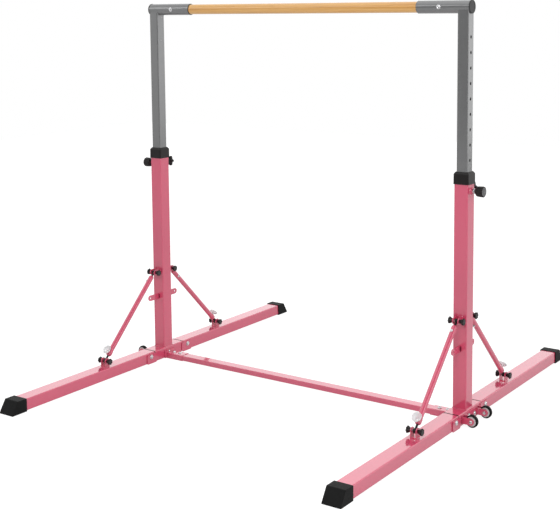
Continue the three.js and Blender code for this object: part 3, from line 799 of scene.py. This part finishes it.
def collar_shape():
    """Plastic collar: a slightly drafted cover with a chamfered top, and the post's guide hole."""
    hole = POST + 0.6
    low = UPRIGHT_TOP - 24
    shoulder = COLLAR_TOP - 7
    w = 2 * COLLAR_HALF
    inside = UPRIGHT + 0.6
    stations = [
        (w - 0.9, 5, low), (w, 5.5, low + 0.8), (w, 5.5, low + 3.5), (w - 0.7, 5.2, low + 4.3),
        (w - 1.0, 5, shoulder - 1.2), (w - 1.8, 4.8, shoulder), (hole + 5.4, 3.4, COLLAR_TOP - 0.8),
        (hole + 3.6, 2.8, COLLAR_TOP), (hole + 0.8, 2.2, COLLAR_TOP), (hole, 2, COLLAR_TOP - 0.6),
        (hole, 2, UPRIGHT_TOP + 0.4), (inside, 4, UPRIGHT_TOP + 0.4), (inside, 4, low)]
    return loft("z", [(rect(width, width, r), z) for width, r, z in stations], closed=True)


def fluted(axis, stations, lobes, centre=(0, 0), per_lobe=12, sharp=1.0):
    """Knob body: rings (radius, dip, along) whose edge dips between the lobes. It closes on the axis."""
    count = lobes * per_lobe
    rings = []
    for radius, dip, along in stations:
        outline = []
        for i in range(count):
            angle = 2 * math.pi * i / count
            hollow = ((1 - math.cos(lobes * angle)) / 2) ** sharp
            reach = radius - dip * hollow
            outline.append((centre[0] + reach * math.cos(angle), centre[1] + reach * math.sin(angle)))
        rings.append((outline, along))
    return loft(axis, rings)


def pull_knob_shape():
    start = BOSS_OUT + 9.9
    r = PULL_R - 0.2
    stations = [(9.5, 0, start), (10.8, 0, start + 0.6), (11.6, 0, start + 2), (r - 2.8, 0.6, start + 6),
                (r - 1.4, 2.2, start + 8.5), (r - 0.8, 2.6, start + 12), (r, 2.6, PULL_END - 5),
                (r, 2.2, PULL_END - 3.2), (r - 0.8, 0.9, PULL_END - 1.9), (r - 2.2, 0.3, PULL_END - 1.4),
                (r - 3.4, 0, PULL_END - 1.7), (r - 4, 0, PULL_END - 2.6)]
    return fluted("x", stations, 12, (0, PULL_Z), 10, 1.6)


def pull_knob_face_shape():
    """End face of the pull knob: a plate with ribs that run out from the middle."""
    seat = PULL_END - 3.4
    rim = PULL_R - 4.1
    plate = (rim, seat, seat + 1.6, 0.5, 48)
    hub = (5.4, seat + 1, seat + 3.1, 0.8, 36)
    discs = []
    for radius, low, high, ease, sides in (plate, hub):
        profile = [(0, low), (radius, low), (radius, high, ease), (0, high)]
        discs.append(lathe("x", profile, (0, PULL_Z), 3, sides))
    length = PULL_R - 9
    ribs = []
    for i in range(6):
        rib = prism("x", rect(length, 2.6, 1.2, (length / 2 + 4.6, 0), 4), seat + 1, seat + 2.9)
        turn = Matrix.Rotation(i * math.pi / 3, 4, "X")
        ribs.append(moved(eased(rib, 0.35, 2, 40), Matrix.Translation((0, 0, PULL_Z)) @ turn))
    return merged(*discs, *ribs)


def plunger_shape():
    tip = POST / 2 + 0.5
    tail = BOSS_OUT + 12
    profile = [(0, tip), (PLUNGER_R, tip, 1.2), (PLUNGER_R, tail), (0, tail)]
    return lathe("x", profile, (0, PULL_Z), 3, 32)


def clamp_knob_shape():
    start = UPRIGHT / 2 + 6.6
    disc = start + 19
    r = CLAMP_R - 0.3
    stations = [(8.6, 0, start), (10.4, 0, start + 0.5), (10.8, 0, start + 2), (12, 0, start + 9),
                (14.5, 0.5, disc - 2), (r - 4, 4.2, disc), (r - 1.2, 6, disc + 1.4), (r, 6.3, disc + 4),
                (r, 6.3, disc + 10), (r - 0.9, 5.8, disc + 12.4), (r - 3.4, 4.4, disc + 13.8),
                (11, 0, disc + 14.5), (6, 0, disc + 14.7)]
    return fluted("y", stations, 6, (0, CLAMP_Z), 14, 1.0)


def clamp_screw_shape():
    return rod("y", POST / 2 + 0.5, UPRIGHT / 2 + 10, CLAMP_SCREW_R, (0, CLAMP_Z), 0.6)


def build_uprights():
    stand_rows = [
        ("upright_tube", upright_shape(), "frame", PINK, "upright"),
        ("plunger_boss", boss_shape(), "frame", PINK),
        ("plunger_neck", plunger_neck_shape(), "frame", STEEL),
        ("upright_foot_weld", foot_weld_shape(), "frame", PINK),
        ("clamp_nut", clamp_nut_shape(), "frame", PINK),
        ("collar_cover", collar_shape(), "frame", BLACK, "collar"),
        ("pull_knob", pull_knob_shape(), "pull_pin", BLACK, "pull_pin"),
        ("pull_knob_face", pull_knob_face_shape(), "pull_pin", SLATE),
        ("plunger", plunger_shape(), "pull_pin", STEEL),
        ("clamp_knob_star", clamp_knob_shape(), "clamp_knob", BLACK, "clamp_knob"),
        ("clamp_screw", clamp_screw_shape(), "clamp_knob", STEEL),
    ]
    end_rows = [
        ("upper_clevis", merged(upper_clevis_shape(), upright_welds_shape()), "frame", PINK),
        ("storage_ear", storage_ear_shape(), "frame", PINK),
    ]
    for name, side in SIDES.items():
        place_all(name, side, 1, stand_rows)
        for end_name, end in ENDS.items():
            place_all(f"{name}_{end_name}", side, end, end_rows)


# ---------------------------------------------------------------- base channel and cross tube
PLATE_IN = CHANNEL_W / 2
PLATE_OUT = PLATE_IN + 3.5
HINGE_PLATE_FROM = 80
HINGE_PLATE_TO = 142
HINGE_PLATE_TOP = 41
HINGE_BORE = 5.4
SOCKET_WALL = 1.6
SOCKET_PLAY = 0.2
SOCKET_BOLTS = (-58, -92)


def channel_shape():
    """Base channel, with its ends cut back under the top wall."""
    body = box_tube("y", (CHANNEL_W, LEG_H), LEG_WALL, (-CHANNEL_HALF, CHANNEL_HALF), (0, LEG_MIDDLE))
    tools = []
    for end in (-1, 1):
        tip, back = end * (CHANNEL_HALF + 2), end * (CHANNEL_HALF - 4)
        relief = [(tip, LEG_BOTTOM - 2), (tip, LEG_TOP - 2.6), (end * CHANNEL_HALF, LEG_TOP - 2.6),
                  (back, LEG_TOP - 8.5), (back, LEG_BOTTOM - 2)]
        tools.append(prism("x", relief, -CHANNEL_W, CHANNEL_W))
    return eased(cut(body, *tools), 0.5, 2, 50)


def gap_shade_strip_shape():
    """Thin black strip on the end of the channel's top wall, where the leg's nose meets it: painted shade, a
    dark piece that stands in for the shadow in the gap there.
    """
    near, far = CHANNEL_HALF - 3.4, CHANNEL_HALF + 2.1
    low, high = LEG_TOP - 2, LEG_TOP + 0.2
    half = LEG_W / 2 - 2.5
    return prism("x", rounded([(near, low), (far, low), (far, high, 0.5), (near, high, 0.3)], 3), -half, half)


def hinge_plate_shape():
    """Hinge plates on both sides of one end of the channel, each with a weld along its top."""
    start, end, top = HINGE_PLATE_FROM, HINGE_PLATE_TO, HINGE_PLATE_TOP
    outline = rounded([(start, 9, 3), (start + 8, 1, 4), (end, 1, 5), (end, top, 5), (start, top, 3)])
    plates = []
    for side in (-1, 1):
        low, high = sorted((side * (PLATE_IN + 0.05), side * PLATE_OUT))
        hole = prism("x", circle(HINGE_BORE, (HINGE.y, HINGE.z), 32), low - 1, high + 1)
        plates.append(eased(cut(prism("x", outline, low, high), hole), 0.5, 2, 40))
        x = side * (PLATE_IN + 0.3)
        plates.append(bead([(x, start + 2, top + 0.2), (x, CHANNEL_HALF - 4, top + 0.2)], 1.2))
    return merged(*plates)


def hinge_bolt_shape():
    """Hinge bolt: a domed head and washer outside, a cap nut and washer inside."""
    centre = (HINGE.y, HINGE.z)
    seat = PLATE_OUT + 0.1
    shaft = rod("x", -seat, seat, 5, centre)
    rings = [washer("x", seat, 4, 9.3, 1.1, centre, 1), washer("x", -seat, 4, 9.3, 1.1, centre, -1)]
    head = button_head("x", seat + 1, 8.4, 5.6, centre, 1)
    nut = cap_nut("x", -seat - 1, 13, 6.4, centre, -1)
    return merged(shaft, *rings, head, nut)


def socket_shape():
    """Socket that holds the cross tube, with its flange on the channel's inner side."""
    width, height = CROSS_SIZE
    flange_in = PLATE_IN + 0.3
    growth = 2 * (SOCKET_WALL + SOCKET_PLAY)
    body = box_tube("x", (width + growth, height + growth), SOCKET_WALL, (-SOCKET_MOUTH, -flange_in - 3),
                    CROSS_CENTRE, (2.6, 1.6))
    flange = prism("x", rounded([(-33, 1.6, 3), (33, 1.6, 3), (33, 33, 5), (-33, 33, 5)]),
                   -flange_in - 3.6, -flange_in)
    seam = rect(width + 4.4, height + 3.8, 2.8, (0, CROSS_CENTRE[1] + 0.8), 4)
    path = [(-flange_in - 3.8, y, z) for y, z in seam if z > 3]
    return merged(eased(body, 0.4, 2, 60), eased(flange, 0.5, 2, 40), bead(path, 1.5))


def socket_bolts_shape():
    """Two button bolts on top of the socket, and one screw through the flange."""
    top = cross_high.z + 1.8
    heads = []
    for x in SOCKET_BOLTS:
        heads.append(washer("z", top - 0.2, 3, 8.8, 1.0, (x, 0)))
        heads.append(button_head("z", top + 0.7, 7.8, 4.6, (x, 0)))
    heads.append(cross_head("x", -PLATE_IN - 3.8, 4.2, 2.8, (-5, 28), -1))
    return merged(*heads)


def cross_shape():
    ends = (cross_low.x, cross_high.x)
    return eased(box_tube("x", CROSS_SIZE, 1.8, ends, CROSS_CENTRE, (2.2, 0.9)), 0.4, 2, 60)


# ---------------------------------------------------------------- wheels
BRACKET_IN = PLATE_IN + 0.3
CHEEK = 3
CHEEK_R = 12.4
CHEEK_GAP = WHEEL_HALF + 1.2


def bracket_shape():
    """Wheel bracket: a plate along the channel, and two cheeks to each wheel."""
    reach = AXLE.y + CHEEK_GAP + CHEEK
    plate = prism("x", rounded([(-reach, 9, 2), (reach, 9, 2), (reach, 40, 2), (-reach, 40, 2)]),
                  BRACKET_IN, BRACKET_IN + 3)
    root = BRACKET_IN + 1
    nose = arc((AXLE_X, AXLE.z), CHEEK_R, -math.pi / 2, math.pi, 14)
    outline = [(root, 37), (root, 12), (BRACKET_IN + 7, 12), *nose]
    cheeks = []
    for wheel in (-AXLE.y, AXLE.y):
        cheeks += pair("y", outline, CHEEK_GAP, CHEEK_GAP + CHEEK, wheel)
    hole = prism("y", circle(4.3, (AXLE_X, AXLE.z), 28), -reach - 1, reach + 1)
    return eased(cut(joined(plate, *cheeks), hole), 0.45, 2, 40)


def axle_shape():
    """Axle bolt of one wheel, with a head at one cheek and a nut at the other."""
    centre = (AXLE_X, AXLE.z)
    outer = CHEEK_GAP + CHEEK
    shaft = rod("y", AXLE.y - outer, AXLE.y + outer, 4, centre)
    nut = hex_nut("y", AXLE.y - outer, 10.5, 3.9, centre, -1)
    head = button_head("y", AXLE.y + outer, 6.6, 3.9, centre, 1)
    return merged(shaft, nut, head)


BRACKET_BOLTS = ((-17, 26), (30, 22))


def bracket_bolts_shape():
    heads = []
    for centre in BRACKET_BOLTS:
        heads.append(washer("x", BRACKET_IN + 3, 3, 8.2, 0.9, centre))
        heads.append(button_head("x", BRACKET_IN + 3.8, 6.6, 4.2, centre))
    return merged(*heads)


RIM = 0.76  # the hub's edge as a share of the wheel


def both_faces(half):
    """Profile of a wheel from that of its one face, given as (radius, height over the wheel's middle)."""
    return ([(r, AXLE.y - h, *ease) for r, h, *ease in half]
            + [(r, AXLE.y + h, *ease) for r, h, *ease in reversed(half)])


def tyre_shape():
    inner = WHEEL_R * RIM
    w = WHEEL_HALF - 0.4
    half = [(inner, w - 1.4), (inner + 1.2, w, 0.8), (WHEEL_R - 3.4, w, 1.2), (WHEEL_R, w - 3.6, 2.6)]
    return lathe("y", both_faces(half), (AXLE_X, AXLE.z), 4, 64)


def hub_shape():
    inner = WHEEL_R * RIM - 0.05
    w = WHEEL_HALF - 0.9
    half = [(4.2, w + 0.6), (6.6, w + 0.6, 0.5), (7.4, w - 1.4, 0.5), (inner - 2.6, w - 1.4, 0.5),
            (inner - 1.4, w, 0.5), (inner, w, 0.4)]
    return lathe("y", both_faces(half), (AXLE_X, AXLE.z), 3, 64)


def build_base():
    put("cross_tube_bar", moved(cross_shape(), Matrix.Scale(1 / TO_MM, 4)), "frame", PINK, ["cross_tube"])
    stand_rows = [
        ("channel", channel_shape(), "frame", PINK, "base_channel"),
        ("cross_tube_socket", socket_shape(), "frame", PINK, "cross_socket"),
        ("socket_bolts", socket_bolts_shape(), "frame", STEEL),
        ("wheel_fork", bracket_shape(), "frame", PINK, "wheel_bracket"),
        ("bracket_bolts", bracket_bolts_shape(), "frame", STEEL),
    ]
    end_rows = [
        ("hinge_plates", hinge_plate_shape(), "frame", PINK),
        # the black strip at the channel's ends is painted shade for the shadowed gap where the leg meets the
        # channel
        ("gap_shade_strip", gap_shade_strip_shape(), "frame", RUBBER),
        ("leg_hinge_bolt", hinge_bolt_shape(), "frame", STEEL, "hinge_bolt"),
        ("axle", axle_shape(), "frame", STEEL),
        ("tyre", tyre_shape(), "wheel", RUBBER, "wheel"),
        ("hub", hub_shape(), "wheel", PALE),
    ]
    for name, side in SIDES.items():
        place_all(name, side, 1, stand_rows)
        for end_name, end in ENDS.items():
            place_all(f"{name}_{end_name}", side, end, end_rows)


# ---------------------------------------------------------------- legs
NOSE = 24
FOOT_TOE = 31


def leg_shape():
    """Leg tube, with the lower corner of its inner end cut off so that it can swing up."""
    start = HINGE.y - NOSE
    body = box_tube("y", (LEG_W, LEG_H), LEG_WALL, (start, LEG_END - 1), (0, LEG_MIDDLE))
    nose = prism("x", [(start - 2, LEG_BOTTOM - 2), (HINGE.y - 6, LEG_BOTTOM - 2), (HINGE.y - 8, LEG_BOTTOM),
                       (start - 2, HINGE.z - 12)], -LEG_W, LEG_W)
    hole = prism("x", circle(HINGE_BORE, (HINGE.y, HINGE.z), 32), -LEG_W, LEG_W)
    return eased(cut(body, nose, hole), 0.5, 2, 50)


def lower_clevis_shape():
    """Bracket on top of the leg: two upright ears on a base plate, with welds along its sides."""
    y, z = LEG_PIN.y, LEG_PIN.z
    root = LEG_TOP - 0.5
    ears = pair("x", [(y - CLEVIS_R, root), (y + CLEVIS_R, root), *arc((y, z), CLEVIS_R, 0, math.pi, 16)],
                EAR_IN, EAR_OUT)
    base = prism("z", rect(2 * EAR_OUT, 2 * CLEVIS_R, 1, (0, y)), root, LEG_TOP + PLATE)
    hole = prism("x", circle(PIN_R + 0.4, (y, z), 32), -EAR_OUT - 1, EAR_OUT + 1)
    bracket = eased(cut(joined(base, *ears), hole), 0.45, 2, 40)
    reach = CLEVIS_R - 1
    foot = LEG_TOP + 0.2
    welds = [bead([(x, y - reach, foot), (x, y + reach, foot)], 1.4) for x in (-EAR_OUT, EAR_OUT)]
    return merged(bracket, *welds)


def foot_cap_shape():
    """Rubber shoe: a thick sock over the tube's end, with a slanted toe and soft edges."""
    half = (foot_high.x - foot_low.x) / 2
    top = foot_high.z
    start, end = foot_low.y, foot_high.y
    toe = end - FOOT_TOE
    side_view = rounded([(start, 0), (end, 0, 3), (toe, top, 5), (start, top)], 5)
    body = prism("x", side_view, -half, half)
    pocket = prism("y", rect(LEG_W + 0.3, LEG_H + 0.3, TUBE_CORNER, (0, LEG_MIDDLE)), start - 1, LEG_END)
    return eased(cut(body, pocket), 2.0, 3, 50)


# ---------------------------------------------------------------- braces
COLLAR_FROM = BRACE_LENGTH - 46
TUBE_FROM = 20
TUBE_TO = BRACE_LENGTH - 24
CUP_AT = BRACE_LENGTH - 40
TILT = Matrix.Translation((0, UP_PIN.y, UP_PIN.z)) @ Matrix.Rotation(BRACE_TILT, 4, "X")


def brace_tube_shape():
    """Round tube with a drawn-in top end and a larger ferrule at its foot."""
    bore = PIN_R + 0.2
    profile = [(bore, TUBE_FROM), (6.4, TUBE_FROM, 1), (BRACE_R, TUBE_FROM + 5, 3),
               (BRACE_R, COLLAR_FROM - 0.6), (BRACE_COLLAR_R, COLLAR_FROM + 0.6, 0.8),
               (BRACE_COLLAR_R, TUBE_TO - 6, 3), (7, TUBE_TO, 1.2), (bore, TUBE_TO)]
    return lathe("y", profile, (0, 0), 4, 40)


def brace_rod_shape():
    """Black rod through the tube, ending in a flattened eye at both pins."""
    bore = PIN_R + 0.35
    edge = [(bore, -EYE_HALF), (EYE_R, -EYE_HALF, 1.4), (EYE_R, EYE_HALF, 1.4), (bore, EYE_HALF)]
    ends = [(0, 0), (BRACE_LENGTH, 0)]
    shaft = rod("y", 6, BRACE_LENGTH - 6, PIN_R, (0, 0), 0.3, 28)
    shaft = cut(shaft, *[prism("x", circle(PIN_R + 2, end, 32), -6, 6) for end in ends])
    return merged(shaft, *[lathe("x", edge, end, 4, 40) for end in ends])


# Each brace's screw: how far down it sits, and its turn from outward towards the top, in degrees.
BRACE_SCREWS = {"right_front": (46, 90), "right_rear": (60, -90),
                "left_front": (46, 0), "left_rear": (60, 180)}


def brace_screw_shape(along, turn):
    """Cross screw that pins the rod in the tube: hexagon head on one side."""
    screw = merged(hex_nut("x", BRACE_R - 1.2, 10.5, 4.4, (along, 0)),
                   rod("x", BRACE_R, BRACE_R + 4.4, 3, (along, 0), 0.5, 24))
    return moved(screw, TILT @ Matrix.Rotation(math.radians(-turn), 4, "Y"))


def suction_cup_shape():
    """Thin bell of clear vinyl on a solid stem."""
    root = BRACE_COLLAR_R - 0.2
    outside = [(0, root), (5, root, 0.6), (4.2, root + 2.4, 0.8), (6.6, root + 4.6, 1.5), (14, root + 8.4, 8),
               (CUP_R, CUP_FACE - 1.4, 0.5), (CUP_R - 0.2, CUP_FACE, 0.4)]
    inside = [(CUP_R - 1.6, CUP_FACE - 0.5), (13.4, root + 10.6, 8), (6, root + 8, 2), (0, root + 7.4)]
    return lathe("z", outside + inside, (0, CUP_AT), 4, 56)


# ---------------------------------------------------------------- brace knobs
KNOB_START = EAR_OUT + 0.3
KNOB_END = KNOB_START + 18
KNOB_R = 13
KNOB_LOBES = 7


def knob_shape():
    """Black knob along +X: a cone that widens to a lobed rim, hollowed round its end cap."""
    s = KNOB_START
    stations = [(5.6, 0, s), (6.6, 0, s + 0.4), (7.0, 0, s + 2), (8.2, 0.2, s + 5.4), (10.2, 0.8, s + 9.4),
                (12.1, 1.7, s + 12.2), (KNOB_R, 2.3, s + 13.6), (KNOB_R, 2.3, s + 16.2),
                (KNOB_R - 0.6, 2.0, s + 17.3), (KNOB_R - 2.0, 1.2, s + 17.7), (9.6, 0.1, s + 17.7),
                (9.1, 0, s + 17.2)]
    return fluted("x", stations, KNOB_LOBES, (0, 0), 12, 1.1)


def knob_cap_shape():
    """Slightly domed disc in the knob's end."""
    base = KNOB_END - 0.9
    profile = [(0, base - 1), (8.9, base - 1), (8.9, base, 0.3), (6.5, base + 0.65, 8), (0, base + 0.9)]
    return lathe("x", profile, (0, 0), 4, 40)


def build_legs():
    at_up = Matrix.Translation((0, UP_PIN.y, UP_PIN.z))
    at_leg = Matrix.Translation((0, LEG_PIN.y, LEG_PIN.z))
    bolt = moved(rod("x", -KNOB_START - 2, KNOB_START + 2, PIN_R, (0, 0), 0.2, 28), at_up)
    stud = rod("x", EYE_HALF + 0.3, KNOB_START + 2, PIN_R, (0, 0), 0.4, 28)
    knob = knob_shape()
    cap = knob_cap_shape()
    leg_rows = [
        ("leg_tube", leg_shape(), "leg", PINK, "leg"),
        ("leg_clevis", lower_clevis_shape(), "leg", PINK),
        ("foot_shoe", foot_cap_shape(), "leg", RUBBER, "foot_cap"),
        ("brace_tube", moved(brace_tube_shape(), TILT), "brace", PINK, "brace"),
        ("brace_eyes", moved(brace_rod_shape(), TILT), "brace", BLACK_STEEL, "brace_rod"),
    ]
    fitting_rows = [
        ("cup", moved(suction_cup_shape(), TILT), "brace", CLEAR, "suction_cup"),
        ("upper_bolt", bolt, "upper_knob", STEEL, "upper_knob_bolt"),
    ]
    for facing, turn in (("outer", Matrix.Identity(4)), ("inner", Matrix.Diagonal((-1, 1, 1, 1)))):
        upper, lower = f"upper_knob_{facing}", f"lower_knob_{facing}"
        fitting_rows += [
            (upper, moved(knob, at_up @ turn), "upper_knob", BLACK),
            (f"{upper}_cap", moved(cap, at_up @ turn), "upper_knob", CAP_GREY),
            (f"{lower}_body", moved(knob, at_leg @ turn), lower, BLACK, lower),
            (f"{lower}_cap", moved(cap, at_leg @ turn), lower, CAP_GREY),
            (f"{lower}_stud", moved(stud, at_leg @ turn), lower, STEEL),
        ]
    for name, side in SIDES.items():
        for end_name, end in ENDS.items():
            prefix = f"{name}_{end_name}"
            screw = brace_screw_shape(*BRACE_SCREWS[prefix])
            place_all(prefix, side, end, [*leg_rows, ("brace_screw", screw, "brace", STEEL), *fitting_rows])


build_bar()
build_uprights()
build_base()
build_legs()


# ---------------------------------------------------------------- floor, light and camera
FLOOR_REACH = 8
FLOOR_GLOW = 0.4
FLOOR_GLOW_SEEN = 0.85


def floor():
    """Pale studio floor with a faint glow of its own, so that the shadows on it stay soft."""
    corners = [(x * FLOOR_REACH, y * FLOOR_REACH, 0) for x, y in ((-1, -1), (1, -1), (1, 1), (-1, 1))]
    mesh = mesh_of(corners, [(0, 1, 2, 3)])
    finish = Finish("studio_floor", Emission_Color=(1, 1, 1, 1))
    seen = finish.nodes.new("ShaderNodeLightPath").outputs["Is Camera Ray"]
    glow = finish.nodes.new("ShaderNodeMapRange")
    glow.inputs["To Min"].default_value = FLOOR_GLOW
    glow.inputs["To Max"].default_value = FLOOR_GLOW_SEEN
    finish.links.new(seen, glow.inputs["Value"])
    finish.links.new(glow.outputs["Result"], finish.shader.inputs["Emission Strength"])
    cloud = finish.noise(2, detail=3)
    finish.clouded(cloud, (0.30, 0.30, 0.30), (0.32, 0.32, 0.32))
    finish.roughness(cloud, 0.8, 0.9)
    mesh.materials.append(finish.material)
    plane = bpy.data.objects.new("floor", mesh)
    bpy.context.scene.collection.objects.link(plane)


def softbox(name, spot, target, size, brightness):
    data = bpy.data.lights.new(name, "AREA")
    data.shape = "RECTANGLE"
    data.size, data.size_y = size
    data.energy = brightness * math.pi * size[0] * size[1]
    lamp = bpy.data.objects.new(name, data)
    bpy.context.scene.collection.objects.link(lamp)
    lamp.location = spot
    lamp.rotation_euler = (Vector(target) - Vector(spot)).to_track_quat("-Z", "Y").to_euler()
    lamp.visible_camera = False


ROOM_LIGHT = 0.9
ROOM_SHADE = 0.06
DARK_SIDE = (0.6, -0.8, 0)
FADE_FROM = 0.22
FADE_TO = 0.45
WHITE = (1, 1, 1, 1)
SOFTBOXES = {  # place, target, size and brightness
    "overhead": ((0, 0, 5), (0, 0, 0), (6, 6), 0.38),
    "back": ((-5, 6, 3.2), (0, 0, 0.4), (9, 4.5), 0.38),
    "right": ((6, -1, 2.2), (0, 0, 0.8), (5, 4), 1.75),
    "corner": ((5, 7.4, 1.5), (0, 0, 0.8), (5, 3.4), 0.7),
    "strip": ((-3, -4.2, 3.6), (0, 0, 1.4), (4, 0.8), 3.0),
    "front": ((1.6, -3.6, 3.2), (0, 0, 0.6), (2, 2), 6.0),
}


def studio():
    """White backdrop, dimmer room light that fades towards the dark front of the room, and softboxes."""
    world = bpy.data.worlds.new("studio")
    bpy.context.scene.world = world
    world.use_nodes = True
    nodes, links = world.node_tree.nodes, world.node_tree.links
    room = nodes["Background"]
    room.inputs["Color"].default_value = WHITE
    towards = nodes.new("ShaderNodeVectorMath")
    towards.operation = "DOT_PRODUCT"
    towards.inputs[1].default_value = DARK_SIDE
    links.new(nodes.new("ShaderNodeTexCoord").outputs["Generated"], towards.inputs[0])
    fade = nodes.new("ShaderNodeMapRange")
    fade.inputs["From Min"].default_value = FADE_FROM
    fade.inputs["From Max"].default_value = FADE_TO
    fade.inputs["To Min"].default_value = ROOM_LIGHT
    fade.inputs["To Max"].default_value = ROOM_SHADE
    links.new(towards.outputs["Value"], fade.inputs["Value"])
    links.new(fade.outputs["Result"], room.inputs["Strength"])
    backdrop = nodes.new("ShaderNodeBackground")
    backdrop.inputs["Color"].default_value = WHITE
    backdrop.inputs["Strength"].default_value = 1.0
    seen = nodes.new("ShaderNodeLightPath")
    mix = nodes.new("ShaderNodeMixShader")
    links.new(seen.outputs["Is Camera Ray"], mix.inputs["Fac"])
    links.new(room.outputs["Background"], mix.inputs[1])
    links.new(backdrop.outputs["Background"], mix.inputs[2])
    links.new(mix.outputs["Shader"], nodes["World Output"].inputs["Surface"])
    for name, settings in SOFTBOXES.items():
        softbox(f"{name}_softbox", *settings)
    bpy.context.scene.view_settings.view_transform = "Standard"


CAMERA_PLACE = (2.4805, -3.5959, 1.4652)
CAMERA_YAW = 0.5926
CAMERA_PITCH = -0.1098
CAMERA_ROLL = -0.0063
CAMERA_LENS = 72.75
SENSOR_WIDTH = 36
FAR_LIMIT = 100
CAMERA_SHIFT = (-0.055, -0.2068)


def camera():
    data = bpy.data.cameras.new("camera")
    data.lens = CAMERA_LENS
    data.sensor_width = SENSOR_WIDTH
    data.shift_x, data.shift_y = CAMERA_SHIFT
    data.clip_end = FAR_LIMIT
    eye = bpy.data.objects.new("camera", data)
    bpy.context.scene.collection.objects.link(eye)
    forward = Vector((-math.sin(CAMERA_YAW) * math.cos(CAMERA_PITCH),
                      math.cos(CAMERA_YAW) * math.cos(CAMERA_PITCH), math.sin(CAMERA_PITCH)))
    level = Vector((math.cos(CAMERA_YAW), math.sin(CAMERA_YAW), 0))
    up = level.cross(forward)
    right = math.cos(CAMERA_ROLL) * level + math.sin(CAMERA_ROLL) * up
    up = math.cos(CAMERA_ROLL) * up - math.sin(CAMERA_ROLL) * level
    turn = Matrix((right, up, -forward)).transposed().to_4x4()
    eye.matrix_world = Matrix.Translation(CAMERA_PLACE) @ turn
    bpy.context.scene.camera = eye


floor()
studio()
camera()
